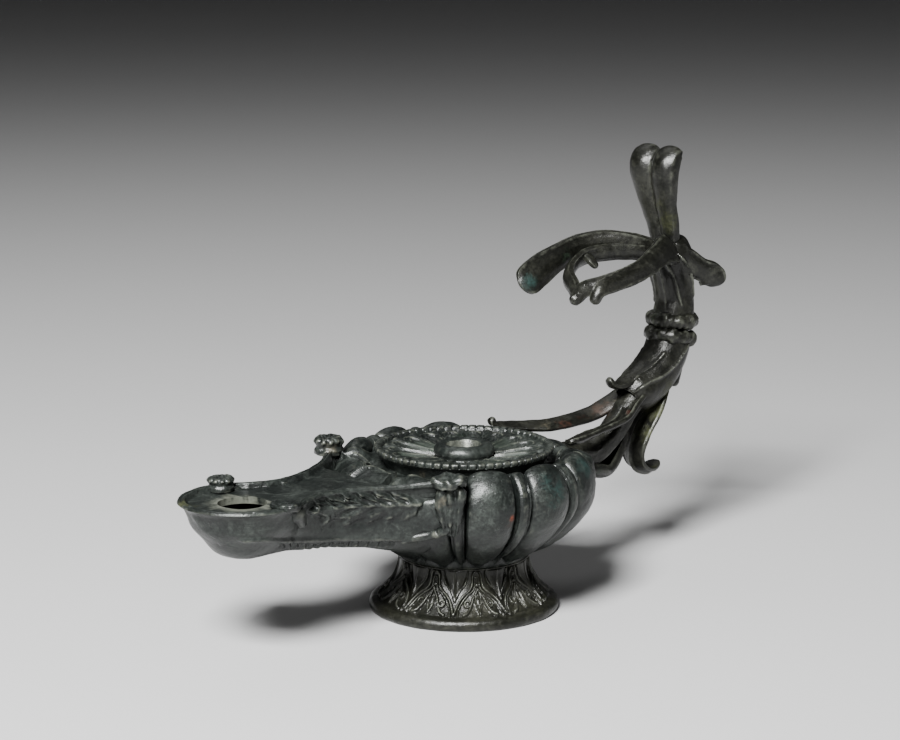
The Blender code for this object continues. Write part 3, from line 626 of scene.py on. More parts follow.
def foot_carving(turn, rise):
    """Height over the foot's slope. Leaves are half circles across that narrow downwards, and
    every line is a raised bead; where forms cross, the higher one shows."""
    u, v = np.abs(turn) * UNIT_WIDE, rise * UNIT_TALL
    from_rib = 7.25 - u
    leaf_half = np.clip((v - 3.6) * 0.50, 0.05, 4.2)
    leaf = 0.80 * round_line(from_rib, leaf_half) * ease((v - 3.6) / 1.2)
    forms = [leaf + 0.25 * soft_line(from_rib, 0.24) * (v > 5.0)]
    for line, half, high in (
        (smooth_curve(ARCH, 28), 0.40, 0.95),
        (smooth_curve(INNER_ARCH, 28), 0.30, 0.62),
        (smooth_curve(BUD, 14), 0.30, 0.66),
        (smooth_curve(SIDE_PETAL, 16), 0.36, 0.80),
        (smooth_curve(LEAF_EDGE, 14), 0.30, 0.78),
    ):
        forms.append(high * round_line(distance_to(u, v, line), half))
    curl = np.abs(np.hypot(u - 3.4, v - 3.6) - 0.8)
    forms.append(0.70 * round_line(curl, 0.30))
    forms.append(0.70 * round_line(np.hypot(u, v - 8.6), 0.6))
    forms.append(0.45 * round_line(np.hypot(u * 1.7, v - 4.2), 1.1))
    fade = ease(rise / 0.04) * ease((1 - rise) / 0.04)
    return fade * (np.max(forms, axis=0) - 0.45)


def make_foot():
    angles = np.arange(720) * 2 * np.pi / 720
    turn = ((angles - FOOT_TURN) * FOOT_LEAVES / (2 * np.pi) + 0.5) % 1 - 0.5
    rim = smooth_curve([(FOOT_RADIUS - back, up) for back, up in FOOT_RIM], 18)
    rise = np.linspace(0, 1, 76)
    widest = FOOT_RADIUS - FOOT_RIM_STEP
    outline = NECK_RADIUS + (widest - NECK_RADIUS) * (1 - rise) ** 2.3
    height = FOOT_RIM_HEIGHT + (FOOT_HEIGHT - FOOT_RIM_HEIGHT) * rise
    slope = np.arctan2(-np.gradient(outline), np.gradient(height))
    carving = foot_carving(turn[None, :], rise[:, None])
    radii = outline[:, None] + carving * np.cos(slope)[:, None]
    heights = height[:, None] + carving * np.sin(slope)[:, None]
    grid = np.concatenate(
        [
            around(np.array([0.0]), np.array([0.0]), angles),
            around(rim[:-1, 0], rim[:-1, 1], angles),
            around(radii, np.minimum(heights, FOOT_HEIGHT), angles),
            around(np.array([0.0]), np.array([FOOT_HEIGHT]), angles),
        ]
    )
    body = weathered(closed_skin(grid), 0.10, 1.0)
    body[0][:, 2] = np.maximum(body[0][:, 2], 0.0)
    neck = NECK_RADIUS - WALL
    fall = np.linspace(0, 1, 12)
    inside = [(0.0, FOOT_HEIGHT + WALL), (neck, FOOT_HEIGHT + WALL)]
    inside += list(zip(neck + (FOOT_RING_RADIUS - neck) * fall**1.6, FOOT_HEIGHT * (1 - fall)))
    inside += [(FOOT_RING_RADIUS, -WALL), (0.0, -WALL)]
    hollow = weathered(closed_skin(turned(inside, 120)), 0.12, 3.0)
    return body, hollow


def make_solder():
    """The seam of solder under the bowl: a thin ring, uneven in width as it ran."""
    angles = np.arange(360) * 2 * np.pi / 360
    thick = 0.42 + 0.16 * bumps(np.stack([angles * 14, angles * 0, angles * 0], -1), 9, 0.4)
    round_the_ring = np.linspace(0, 2 * np.pi, 13)[:-1, None]
    radii = NECK_RADIUS - 0.15 + thick * np.cos(round_the_ring)
    heights = FOOT_HEIGHT + 0.05 + thick * 0.75 * np.sin(round_the_ring)
    ring = np.stack([radii * np.cos(angles), radii * np.sin(angles), heights], axis=-1)
    return closed_ring(ring)


def closed_ring(grid):
    """Skin of a ring: grid[i, j] joins up on itself both ways."""
    return closed_skin(np.concatenate([grid, grid[:1]]))


foot_body, foot_hollow = make_foot()
foot_skin = fused([foot_body, make_solder()], [foot_hollow])
print("foot:", len(foot_skin[1]), "triangles")

# %% [markdown]
# ## The bowl
#
# The bowl is a low round body of twelve lobes, like a fluted shell or a melon, with a roofed
# rib between each two. Twelve stretched spheres would bulge too much and leave no ribs. The
# bowl is one grid: an outline gives each row its radius and height, and the lobes and ribs
# are a height across each twelfth.

# %% The lobed bowl
CREST_RADIUS = 42.1
BELLY_RADIUS = 42.3
BOWL_HEIGHT = 32.8
SHOULDER = BOWL_BASE + BOWL_HEIGHT
LOBES = 12
LOBE_SHARE = 0.74
LOBE_RISE = 2.8
RIB_RISE = 1.7
SHOULDER_DIP = 2.9
DISCUS_NECK_RADIUS = 25.0
DISCUS_FOOT = SHOULDER - 3.7
BOWL_OUTLINE = [
    (0.0, 0.0),
    (0.17, 0.067),
    (0.44, 0.175),
    (0.71, 0.325),
    (0.92, 0.51),
    (1.0, 0.69),
    (0.965, 0.85),
    (0.87, 0.965),
    (0.72, 1.045),
    (0.54, 1.03),
    (0.37, 0.94),
]


def lobe_relief(turn, climb, dished):
    """Depth below the crest line; turn is -1 to 1 from rib to rib and climb 0 to 1 up the bowl.
    A lobe is a half ellipse across with round ends, and a rib a low roof between two fine
    grooves. Where dished is 1, on the lobes inside the nozzle's rim, the upper end is a hollow
    panel with a raised outline instead."""
    end = np.maximum((0.14 - climb) / 0.12, (climb - 0.80) / 0.17)
    reach = (turn / LOBE_SHARE) ** 2 + np.clip(end, 0, None) ** 2
    lobe = LOBE_RISE * np.sqrt(np.clip(1 - reach, 0, 1))
    panel = LOBE_RISE - 0.3 - 1.3 * np.clip(1 - reach, 0, 1) ** 0.6
    panel = panel + 0.8 * soft_line(reach - 0.88, 0.15) + 0.30 * soft_line(reach - 0.42, 0.10)
    lobe = lobe + (panel - lobe) * dished
    out = (np.abs(turn) - LOBE_SHARE) / (1 - LOBE_SHARE)
    rib = RIB_RISE * (0.62 + 0.38 * ease(out * 1.2))
    rib = rib - 0.45 * soft_line(out - 0.42, 0.10) * ease((0.9 - climb) / 0.1)
    rib = rib * ease((reach - 1.0) / 0.16)
    groove = 0.40 * soft_line(reach - 1.02, 0.07)
    arch = 0.34 * soft_line(reach - 1.32, 0.10) * ease((climb - 0.62) / 0.15)
    return np.where(reach < 1, lobe, rib) - groove + arch - LOBE_RISE


def bowl_grid(rows, columns, inset):
    """Rows of the bowl from its neck up over its shoulder, moved in by inset along the surface."""
    angles = np.arange(columns) * 2 * np.pi / columns
    turn = (angles * LOBES / np.pi + 1) % 2 - 1
    shares = smooth_curve(BOWL_OUTLINE, rows)
    radii = NECK_RADIUS + (CREST_RADIUS - NECK_RADIUS) * shares[:, 0]
    heights = BOWL_BASE + BOWL_HEIGHT * shares[:, 1]
    slope = np.arctan2(-np.gradient(radii), np.gradient(heights))[:, None]
    climb = np.linspace(0, 1, rows)[:, None]
    dished = ease((-np.cos(angles) - 0.66) / 0.03) * ease((climb - 0.56) / 0.06) if not inset else 0.0
    depth = lobe_relief(turn, climb, dished) * ease(climb / 0.08) - inset
    dip = np.where(np.cos(angles) > 0, SHOULDER_DIP, 0.72 * SHOULDER_DIP)
    dip = dip * ease((climb - 0.6) / 0.2) * ease((np.abs(np.cos(angles)) - 0.68) / 0.1)
    radii, heights = radii[:, None] + np.cos(slope) * depth, heights[:, None] + np.sin(slope) * depth
    return around(radii, heights - dip, angles)


def make_bowl():
    grid = bowl_grid(96, 480, 0.0)
    flat = grid * 0
    bottom = flat[:1] + (0.0, 0.0, BOWL_BASE)
    angles = np.arange(480) * 2 * np.pi / 480
    gap = around(np.array([DISCUS_NECK_RADIUS]), np.array([DISCUS_FOOT]), angles)
    top = flat[:1] + (0.0, 0.0, DISCUS_FOOT)
    return weathered(closed_skin(np.concatenate([bottom, grid, gap, top])), 0.16, 0.0)


def make_reservoir():
    grid = bowl_grid(30, 180, WALL)
    base = grid[:1].copy()
    base[..., 2] = BOWL_BASE + WALL
    base[..., :2] *= (NECK_RADIUS - WALL) / NECK_RADIUS
    angles = np.arange(180) * 2 * np.pi / 180
    radii = DISCUS_NECK_RADIUS + np.array([WALL, -WALL, -3 * WALL, -DISCUS_NECK_RADIUS])
    heights = np.array([DISCUS_FOOT, DISCUS_FOOT, DISH_FLOOR, DISH_FLOOR]) - WALL
    bottom = grid[:1] * 0 + (0.0, 0.0, BOWL_BASE + WALL)
    return closed_skin(np.concatenate([bottom, base, grid[1:], around(radii, heights, angles)]))


# %% [markdown]
# ## The discus
#
# The discus is the round dish that closes the bowl, with the filling hole in a raised boss at
# its middle. Its wall flares out over a dark gap to a rim cut into beads, and eighteen petals
# with thin raised edges spread over its floor. It is a grid round the axis too; beads and
# petals are heights that repeat with the angle.

# %% The beaded rim, the petals and the boss
DISCUS_RADIUS = 28.0
DISCUS_RIM = DISCUS_FOOT + 5.8
DISH_FLOOR = DISCUS_RIM - 3.8
DISH_EDGE, DISH_MIDDLE, DISH_SLOPE = 25.7, 8.6, 2.3
BEADS = 64
PETALS = 18
FILL_HOLE_RADIUS = 5.5
# Sections, out and up from the discus's edge, or from the axis and the rim's height.
DISCUS_WALL = [(-3.5, -6.4), (-3.1, -5.6), (-2.4, -4.0), (-1.2, -2.4), (-0.1, -1.7)]
DISCUS_LIP = [(0.0, -1.65), (0.1, -1.0), (0.0, -0.3), (-0.5, 0.0), (-1.3, -0.05), (-1.9, -0.4), (-2.1, -0.9)]
BOSS = [
    (5.0, -0.7), (5.5, -0.1), (6.3, 0.4), (7.4, 0.55), (8.6, -0.1), (9.4, -1.2),
    (9.5, -2.3), (9.0, -3.4), (9.4, -4.2),
]


def petal_height(turn, radius):
    """Height of one petal; turn is -0.5 to 0.5 across it, radius is from the lamp's axis.
    It is hollow inside, has a thin raised edge and a fainter line within, and a small pointed
    tip of the next row shows between two petals at the rim."""
    tip = np.clip((radius - 18.8) / 4.9, 0, None)
    root = np.clip((12.5 - radius) / 4.5, 0, None)
    reach = np.sqrt((turn / 0.46) ** 2 + tip**2 + 0.4 * root**2)
    hollow = -0.30 * np.clip(1 - reach**2, 0, 1)
    edge = 0.80 * soft_line(reach - 0.97, 0.12)
    line = 0.34 * soft_line(reach - 0.55, 0.11)
    vein = 0.22 * soft_line(turn, 0.04) * (reach < 0.9)
    gap = np.abs(np.abs(turn) - 0.5)
    point = 0.9 * ease(1 - (gap / 0.20 + np.clip((21.0 - radius) / 3.2, 0, None)) ** 2) * (radius > 18)
    return np.maximum(hollow + edge + line + vein, np.where(reach > 1.05, point, -9))


def make_discus():
    columns = 576
    angles = np.arange(columns) * 2 * np.pi / columns
    turn = (angles * PETALS / (2 * np.pi) + 0.5) % 1 - 0.5
    edge = (DISCUS_RADIUS, DISCUS_RIM)
    wall = smooth_curve(DISCUS_WALL, 10) + edge
    wall_grid = around(wall[:, 0], wall[:, 1], angles)
    rim = smooth_curve(DISCUS_LIP, 15) + edge
    cut = 1 - 0.8 * soft_line(np.sin(angles * BEADS / 2), 0.26)
    middle = np.add(edge, (-1.1, -0.9))
    bead = 0.52 + 0.48 * cut
    rim_radii = middle[0] + (rim[:, :1] - middle[0]) * bead
    rim_heights = middle[1] + (rim[:, 1:] - middle[1]) * (0.10 + 0.90 * bead)
    rim_grid = around(rim_radii, rim_heights, angles)
    inwards = np.linspace(0, 1, 60)
    radii = DISH_EDGE + (DISH_MIDDLE - DISH_EDGE) * inwards
    heights = DISH_FLOOR + DISH_SLOPE * (1 - inwards) ** 1.4
    petals = petal_height(turn[None, :], radii[:, None])
    petals = petals * ease(inwards / 0.05)[:, None] * ease((1 - inwards) / 0.08)[:, None]
    floor_grid = around(radii[:, None] + 0 * petals, heights[:, None] + petals, angles)
    under, middle = (np.zeros((1, columns, 3)) + (0, 0, z) for z in (DISCUS_FOOT - 0.6, DISH_FLOOR))
    grid = np.concatenate([under, wall_grid, rim_grid, floor_grid, middle])
    return weathered(closed_skin(grid), 0.07, 4.0)


def make_boss():
    """The round collar about the filling hole: a fat cushion on a short neck."""
    profile = [(0.0, -0.8), *smooth_curve(BOSS, 40).tolist(), (9.4, -5.0), (0.0, -5.0)]
    return weathered(closed_skin(turned(profile, 120, (0, 0, DISCUS_RIM))), 0.12, 2.0)


def straight_hole(radius, x, low, high):
    """A round hole with a slightly worn edge."""
    angles = np.arange(96) * 2 * np.pi / 96
    radii = radius + 0.12 * np.sin(3 * angles + 1)
    rows = np.array([0.0, 1.0, 1.0, 0.0])[:, None] * radii
    heights = np.array([high, high, low, low])
    return closed_skin(around(rows, heights[:, None] + 0 * rows, angles) + (x, 0, 0))


# %% [markdown]
# ## The nozzle
#
# A long nozzle runs out from the bowl to a round spoon with the wick hole. Its rim carries a
# fine double line, an acanthus leaf lies on each flank, a ridge runs under it, and below that
# a row of small curved nicks. A box drawn out and smoothed would lose the sharp rim. The
# nozzle is a grid: its outline from above, drawn in towards its spine row by row down the hull.

# %% The nozzle's outline, rim and keel
NOZZLE_REACH = 86.5
SPOON_RADIUS = 19.0
WICK_HOLE_RADIUS = 7.2
NOZZLE_WAIST = 12.0
NOZZLE_RIM_WIDTH = 2.2
NOZZLE_RIM = SHOULDER - 0.6
NOZZLE_FLOOR_DROP = 1.6
SPOON_DEPTH = 18.1
VOLUTE_ANGLE = math.radians(42.5)
VOLUTE_X = BELLY_RADIUS * math.cos(VOLUTE_ANGLE)
VOLUTE_Y = BELLY_RADIUS * math.sin(VOLUTE_ANGLE)
SPOON_HULL = [
    (1.0, 0.955), (0.92, 0.89), (0.86, 0.76), (0.80, 0.58), (0.66, 0.40), (0.40, 0.11),
    (0.0, 0.0),
]
NECK_HULL = [
    (1.0, 0.955), (0.92, 0.88), (0.87, 0.76), (0.82, 0.50), (0.78, 0.27), (0.50, 0.04),
    (0.0, 0.0),
]
# Across the rim: distance in from the edge in rim widths, and height below the rim's top.
RIM_LINES = [
    (1.75, -1.6),
    (1.45, -1.56),
    (1.27, -1.2),
    (1.12, -0.45),
    (1.0, -0.04),
    (0.88, 0.0),
    (0.74, -0.08),
    (0.64, -0.36),
    (0.52, -0.38),
    (0.43, -0.10),
    (0.30, 0.0),
    (0.15, -0.10),
    (0.06, -0.40),
]


def nozzle_width(x):
    """Half-width of the nozzle's top at a distance x from the bowl's axis, before the spoon: it
    widens from its waist to the volutes, and narrows again inside the bowl."""
    waist = NOZZLE_REACH - 1.24 * SPOON_RADIUS
    open_up = np.clip((waist - x) / (waist - VOLUTE_X), 0, 1)
    back = np.clip((x - waist) / (0.6 * SPOON_RADIUS), 0, 1)
    hidden = 1 - 0.3 * ease((VOLUTE_X - x) / (0.12 * BELLY_RADIUS))
    swell = (VOLUTE_Y - NOZZLE_WAIST) * open_up**1.55 + 0.15 * SPOON_RADIUS * back**2
    return (NOZZLE_WAIST + swell) * hidden


def nozzle_keel(x):
    """Height of the nozzle's underside along its middle."""
    spoon, near = NOZZLE_RIM - SPOON_DEPTH, BOWL_BASE + 0.08 * BOWL_HEIGHT
    share = np.clip((NOZZLE_REACH - x) / (NOZZLE_REACH - 0.45 * BELLY_RADIUS), 0, 1)
    return spoon - (spoon - near) * share**2.4


def nozzle_rim(x):
    """Height of the nozzle's rim: level, up a little to the volutes, then down into the bowl."""
    rise = 1.2 * ease((VOLUTE_X + 0.28 * BELLY_RADIUS - x) / (0.33 * BELLY_RADIUS))
    sunk = 0.24 * BOWL_HEIGHT * ease((VOLUTE_X - 0.012 * BELLY_RADIUS - x) / (0.165 * BELLY_RADIUS))
    return NOZZLE_RIM + rise - sunk


def nozzle_plan(start, neck_count, spoon_count):
    """Half of the outline from above: a neck by its width, then an arc round the spoon."""
    join = NOZZLE_REACH - 0.62 * SPOON_RADIUS
    along = np.linspace(start, join, neck_count, endpoint=False)
    turn = np.linspace(math.acos((NOZZLE_REACH - join) / SPOON_RADIUS), math.pi, spoon_count)
    x = np.concatenate([along, NOZZLE_REACH - SPOON_RADIUS * np.cos(turn)])
    y = np.concatenate([nozzle_width(along), SPOON_RADIUS * np.sin(turn)])
    return x, y, np.minimum(x, NOZZLE_REACH)


def nozzle_rows(y_half, spine, inset, hull_rows):
    """Share of the outline and height for each row from the top's middle down to the keel."""
    rim, keel = nozzle_rim(spine), nozzle_keel(spine) + inset
    floor = np.minimum(rim, NOZZLE_RIM) - NOZZLE_FLOOR_DROP - inset
    floor = floor - 3.0 * ease((42.0 - spine) / 3.0)
    blend_in = ease((spine - 0.72 * NOZZLE_REACH) / (0.22 * NOZZLE_REACH))
    low_half = np.clip((0.72 * NOZZLE_REACH - spine) / (0.37 * NOZZLE_REACH), 0, 1) ** 1.3
    low_half = NOZZLE_WAIST * (0.875 + 1.04 * low_half)
    if inset:
        shares, heights, body = [0 * rim, 0.55 + 0 * rim], [floor, floor], floor - keel
    else:
        shares = [k + 0 * rim for k in (0.0, 0.3, 0.55, 0.7)]
        heights, body = [floor] * 4, rim - keel
        for away, drop in smooth_curve(RIM_LINES, 26):
            shares.append(1 - away * NOZZLE_RIM_WIDTH / y_half)
            heights.append(rim + drop * np.where(away > 1.2, (rim - floor) / 1.6, 1.0))
    param = np.linspace(0, 6, hull_rows)
    spoon_table, neck_table = smooth_curve(SPOON_HULL, hull_rows), smooth_curve(NECK_HULL, hull_rows)
    for p, spoon, neck in zip(param, spoon_table, neck_table):
        slim = 1 - ease((p - 1.6) / 1.4)
        narrowed = neck[0] * (slim + (1 - slim) * np.minimum(1.0, low_half / (0.82 * y_half)))
        share = narrowed + (spoon[0] - narrowed) * blend_in
        share = np.maximum(np.minimum(share, 0.88) - inset / y_half if inset else share, 0)
        shares.append(share)
        heights.append(keel + body * (neck[1] + (spoon[1] - neck[1]) * blend_in))
    return np.array(shares), np.array(heights)


def nozzle_skin(start, neck_count, spoon_count, inset, hull_rows):
    """The nozzle, or with an inset the channel in it: both halves in one ring of columns, closed
    at its inner end by a column that is one point."""
    x, y, spine = nozzle_plan(start, neck_count, spoon_count)
    shares, heights = nozzle_rows(np.hypot(x - spine, y), spine, inset, hull_rows)
    half = np.stack([-(spine + (x - spine) * shares), y * shares, heights], axis=-1)
    other = half[:, ::-1] * (1, -1, 1)
    end = np.broadcast_to(half[:, :1].mean(axis=0, keepdims=True) * (1, 0, 1), half[:, :1].shape)
    return closed_skin(np.concatenate([end, half, other[:, 1:], end], axis=1))


# %% The acanthus leaf, the ridge and the nicks on the nozzle's flank
# Places on a flank: millimetres from the bowl's axis towards the tip, and up from the table.
UPPER_TIPS = [(70.2, 48.4), (64.8, 48.6), (59.4, 48.6), (54.6, 48.4), (49.8, 48.2), (44.9, 47.6)]
LOWER_TIPS = [(65.4, 39.4), (57.9, 38.0), (51.2, 38.0), (45.6, 38.6), (41.0, 38.4)]
# A vein: distance back from its tip, and share of the way up from the leaf's middle to it.
VEIN = [(-9.5, 0.0), (-5.2, 0.42), (-0.6, 0.84)]
LEAF_RIB = [(36.5, 43.3), (50.0, 44.0), (62.0, 44.5), (71.0, 45.0)]
RIDGE = [(95.0, 40.6), (89.4, 40.3), (75.0, 36.4), (59.3, 34.0), (42.0, 32.2), (36.0, 31.6)]
NICKS = smooth_curve([(78.1, 35.0), (66.0, 31.9), (54.0, 30.7), (42.4, 29.8)], 13)


def leaf_outline():
    """The acanthus leaf: for each lobe a way out to its tip and a sharp notch back."""
    upper, lower = UPPER_TIPS[::-1], LOWER_TIPS
    places = [(36.6, 43.3)]
    for x, z in upper:
        places += [(x - 3.6, z - 1.1), (x - 1.8, z - 0.2), (x, z), (x - 1.2, z - 2.3)]
    places.append((71.5, 45.0))
    for x, z in lower:
        places += [(x - 1.0, z + 2.5), (x, z), (x - 1.9, z + 0.3), (x - 3.8, z + 1.2)]
    return places


def flank_carving(along, up):
    """Height over the flank. The leaf is a flat plate with a sharp edge, a rim along it, a vein
    cut in each lobe and a raised midrib; a ridge runs under it, and nicks are cut below that."""
    inside = depth_inside(along, up, leaf_outline())
    leaf = 1.7 * ease((inside + 0.10) / 0.45) + 0.45 * soft_line(inside - 0.45, 0.32)
    veins = np.zeros(along.shape)
    for tips, root in ((UPPER_TIPS, 44.4), (LOWER_TIPS, 43.4)):
        for x, z in tips:
            for shift in (-1.9, -0.1):
                line = [(x + shift + back, root + share * (z - root)) for back, share in VEIN]
                line = smooth_curve(line, 7)
                vein = (1.35 + 0.10 * shift) * soft_line(distance_to(along, up, line), 0.36)
                veins = np.maximum(veins, vein)
    leaf = leaf - veins * ease(inside / 0.4)
    leaf = np.maximum(leaf, 2.1 * round_line(distance_to(along, up, LEAF_RIB), 0.70))
    ridge = 0.95 * round_line(distance_to(along, up, smooth_curve(RIDGE, 24)), 0.62)
    nicks = np.zeros(along.shape)
    for x, z in NICKS:
        ring = np.abs(np.hypot(along - x, up - z + 0.4) - 1.15)
        nicks = np.maximum(nicks, 1.6 * soft_line(ring, 0.36) * ease((up - z + 0.9) / 0.4))
    return np.maximum(leaf, ridge) - nicks


def make_nozzle():
    points, triangles = nozzle_skin(0.45 * BELLY_RADIUS, 190, 60, 0.0, 80)
    normals = normals_of(points, triangles)
    below_rim = ease((nozzle_rim(-points[:, 0]) - 0.7 - points[:, 2]) / 0.5)
    flank = ease((np.abs(normals[:, 1]) - 0.04) / 0.12) * below_rim * (normals[:, 2] < 0.7)
    height = flank * flank_carving(-points[:, 0], points[:, 2])
    lug = np.linalg.norm((points - (-104.0, 0, 45.4)) / (1.4, 1.9, 1.6), axis=1)
    height = height + 0.75 * soft_line(lug, 1.0)
    edges = edge_list(triangles)
    for _ in range(2):
        height = mean_of_neighbours(height, edges)
    return weathered(raised((points, triangles), height), 0.13, 5.0)


def make_channel():
    return nozzle_skin(0.52 * BELLY_RADIUS, 30, 20, WALL, 14)


# %% [markdown]
# ## Volutes, rosettes and brackets
#
# Where the nozzle leaves the bowl, a rosette stands on each side with a fluted bracket under
# it, and a smaller pair stands at the spoon. On the near side they are worn almost flat by
# corrosion, and they stay so. They are turned forms with a ring of beads, and strips swept
# down the bowl's side.

# %% Rosettes
def rosette(radius, height, place, beads, decay, shift):
    """A round head on a thick waist; beads round its edge, a dimple in it, and decay that eats
    it. Without beads it is only a worn lump."""
    profile = smooth_curve(
        [
            (0.0, 0.80 * height),
            (0.28 * radius, 0.78 * height),
            (0.52 * radius, 1.0 * height),
            (0.80 * radius, 0.96 * height),
            (1.0 * radius, 0.70 * height),
            ((0.90 if beads else 1.03) * radius, 0.42 * height),
            ((0.83 if beads else 1.05) * radius, 0.20 * height),
            ((0.94 if beads else 1.05) * radius, -0.05 * height),
            (0.92 * radius, -0.3 * radius),
        ],
        34,
    )
    profile[:, 0] = np.maximum(profile[:, 0], 0.0)
    columns = 90
    angles = np.arange(columns) * 2 * np.pi / columns
    down = np.linspace(0, 1, len(profile))[:, None]
    band, upper = soft_line(down - 0.50, 0.10), soft_line(down - 0.27, 0.07)
    bead = np.abs(np.cos(angles * beads / 2))
    radii = profile[:, :1] * (1 - 0.13 * band * (1 - bead))
    heights = profile[:, 1:] - 0.14 * height * upper * (1 - np.abs(np.sin(angles * beads / 2)))
    grid = around(radii, heights + 0 * radii, angles)
    low = np.zeros((1, columns, 3)) + (0, 0, -0.5 * radius)
    skin = closed_skin(np.concatenate([low * 0 + grid[:1].mean((0, 1)), grid, low]) + place)
    coarse, fine = (3.4, 1.5) if beads else (5.0, 2.6)
    rough = bumps(skin[0], coarse, shift) + 0.35 * bumps(skin[0], fine, shift + 3)
    return raised(skin, decay * rough)


# %% Strips swept along a path
def sweep(path, section):
    """Skin of a strip. A row of the path is x, y, z, half-width, half-thickness and the
    direction across; the section is in shares of the two half sizes. Its ends are rounded: the
    section shrinks there as a circle does."""
    rows = np.asarray(path, float)
    points = rows[:, :3]
    tangent = np.gradient(points, axis=0)
    tangent /= np.linalg.norm(tangent, axis=1)[:, None]
    across = rows[:, 5:8] - tangent * np.sum(rows[:, 5:8] * tangent, axis=1)[:, None]
    across /= np.linalg.norm(across, axis=1)[:, None]
    face = np.cross(tangent, across)
    long = np.concatenate([[0], np.cumsum(np.linalg.norm(np.diff(points, axis=0), axis=1))])
    near = np.clip(long / rows[0, 3], 0, 1)
    far = np.clip((long[-1] - long) / rows[-1, 3], 0, 1)
    close = np.sqrt(1 - (1 - near) ** 2) * np.sqrt(1 - (1 - far) ** 2)
    shape = np.asarray(section, float)
    if shape.ndim == 2:
        shape = np.broadcast_to(shape, (len(rows), *shape.shape))
    wide = (rows[:, 3] * close)[:, None, None] * shape[:, :, :1] * across[:, None, :]
    thick = (rows[:, 4] * close)[:, None, None] * shape[:, :, 1:] * face[:, None, :]
    return closed_skin(points[:, None, :] + wide + thick)


def round_section(count):
    turn = np.arange(count) * 2 * np.pi / count
    return np.stack([np.cos(turn), np.sin(turn)], axis=1)


FLUTES = [
    (-1, 0.3), (-0.7, 0.95), (-0.35, 0.66), (0, 1.05), (0.35, 0.66), (0.7, 0.95), (1, 0.3),
    (0.8, -1), (-0.8, -1),
]
CONSOLE = [
    (0.02, 0.985, 1.0, 0.48), (0.20, 1.0, 0.91, 0.46), (0.36, 0.985, 0.70, 0.41),
    (0.54, 0.925, 0.39, 0.35),
]
VOLUTE_KNOB = 4.9
TIP_KNOB = 4.2
# Small scrolls on the near and far side: x, distance from the middle plane, z and radius.
NECK_SCROLL = [
    (-39.8, 15.6, 31.0, 0.9), (-36.4, 18.6, 32.2, 1.3), (-33.0, 21.4, 33.0, 1.5),
    (-31.2, 25.6, 34.6, 1.3), (-30.0, 28.4, 37.2, 0.8),
]
SPOON_SCROLL = [
    (-80.6, 15.2, 47.6, 1.5), (-78.4, 14.6, 46.4, 2.6), (-76.0, 13.0, 44.2, 2.1),
    (-74.0, 11.4, 42.0, 1.7), (-72.0, 10.9, 41.4, 0.9),
]


def make_bracket(side):
    """The fluted bracket under a volute: it narrows down the bowl's side like bound stems."""
    top = float(nozzle_rim(VOLUTE_X))
    rows = []
    for fall, shift, half, thick in CONSOLE:
        place = (-VOLUTE_X * shift, VOLUTE_Y * side * shift, top - fall * (top - BOWL_BASE))
        across = (math.sin(VOLUTE_ANGLE), math.cos(VOLUTE_ANGLE) * side, 0.0)
        rows.append((*place, half * VOLUTE_KNOB, thick * VOLUTE_KNOB, *across))
    return sweep(smooth_curve(rows, 48), smooth_curve(FLUTES, 54, closed=True))


def make_scroll(rows, side):
    full = [(x, y * side, z, radius, radius, 0.3, side * 0.9, 0.3) for x, y, z, radius in rows]
    return sweep(smooth_curve(full, 40), round_section(20))


def make_side_forms():
    forms = []
    tip_x, tip_y = NOZZLE_REACH - 0.2 * SPOON_RADIUS, 0.82 * SPOON_RADIUS
    for side, tall, beads, decay in ((1, 3.4, 12, 0.20), (-1, 1.3, 0, 0.62)):
        volute = (-VOLUTE_X, side * VOLUTE_Y, float(nozzle_rim(VOLUTE_X)))
        tip = (-tip_x, side * tip_y, float(nozzle_rim(tip_x)))
        forms.append(rosette(VOLUTE_KNOB, 1.15 * tall, volute, beads, decay, 1.0 + side))
        forms.append(rosette(TIP_KNOB, 0.85 * tall, tip, beads, 0.6 * decay, 4.0 + side))
        forms.append(weathered(make_bracket(side), 0.16 if side > 0 else 0.60, 6.0))
        forms.append(weathered(make_scroll(NECK_SCROLL, side), 0.15, 7.0))
        forms.append(weathered(make_scroll(SPOON_SCROLL, side), 0.15, 8.0))
    return forms


# %% Join the lamp's body and cut its hollows
solids = [make_bowl(), make_nozzle(), make_discus(), make_boss(), *make_side_forms()]
hollows = [
    make_reservoir(),
    make_channel(),
    straight_hole(FILL_HOLE_RADIUS, 0.0, DISCUS_FOOT - WALL, DISCUS_RIM + 4.2),
    straight_hole(WICK_HOLE_RADIUS, -NOZZLE_REACH, NOZZLE_RIM - 3 * WALL, NOZZLE_RIM + 2 * WALL),
]
body_skin = fused(solids, hollows)
print("lamp body:", len(body_skin[1]), "triangles")

# %% [markdown]
# ## The handle
#
# The handle grows like a plant: a stalk leaves the bowl, slips into a sheath, passes a
# knotted collar, and opens into a bell of leaves. Two leaves stand upright, two run forward
# over the lamp, two tendrils join in a ring for a finger, and two curl back. Sculpting would
# give the right looseness, but not the same result each run. Each form is a strip swept along
# a smooth path, with the section of a leaf: raised edges, and a round back or a midrib.

# %% Places and paths on the handle
ROOT_X = BELLY_RADIUS - 4.3
ROOT_Z = BOWL_BASE + 22.7


def handle_path(rows, count, across=(0.0, 1.0, 0.0), mirror=1):
    """A smooth path from rows of x, y, z, half-width and half-thickness from the handle's root."""
    full = [
        (ROOT_X + x, y * mirror, ROOT_Z + z, half, thick, across[0], across[1] * mirror, across[2])
        for x, y, z, half, thick in rows
    ]
    return smooth_curve(full, count)


def blunt(s):
    """Half-circle-like closing of a section at its edges: 1 over most of it, 0 at s = 1 and -1."""
    return np.sqrt(np.clip(1 - s**8, 0, 1))


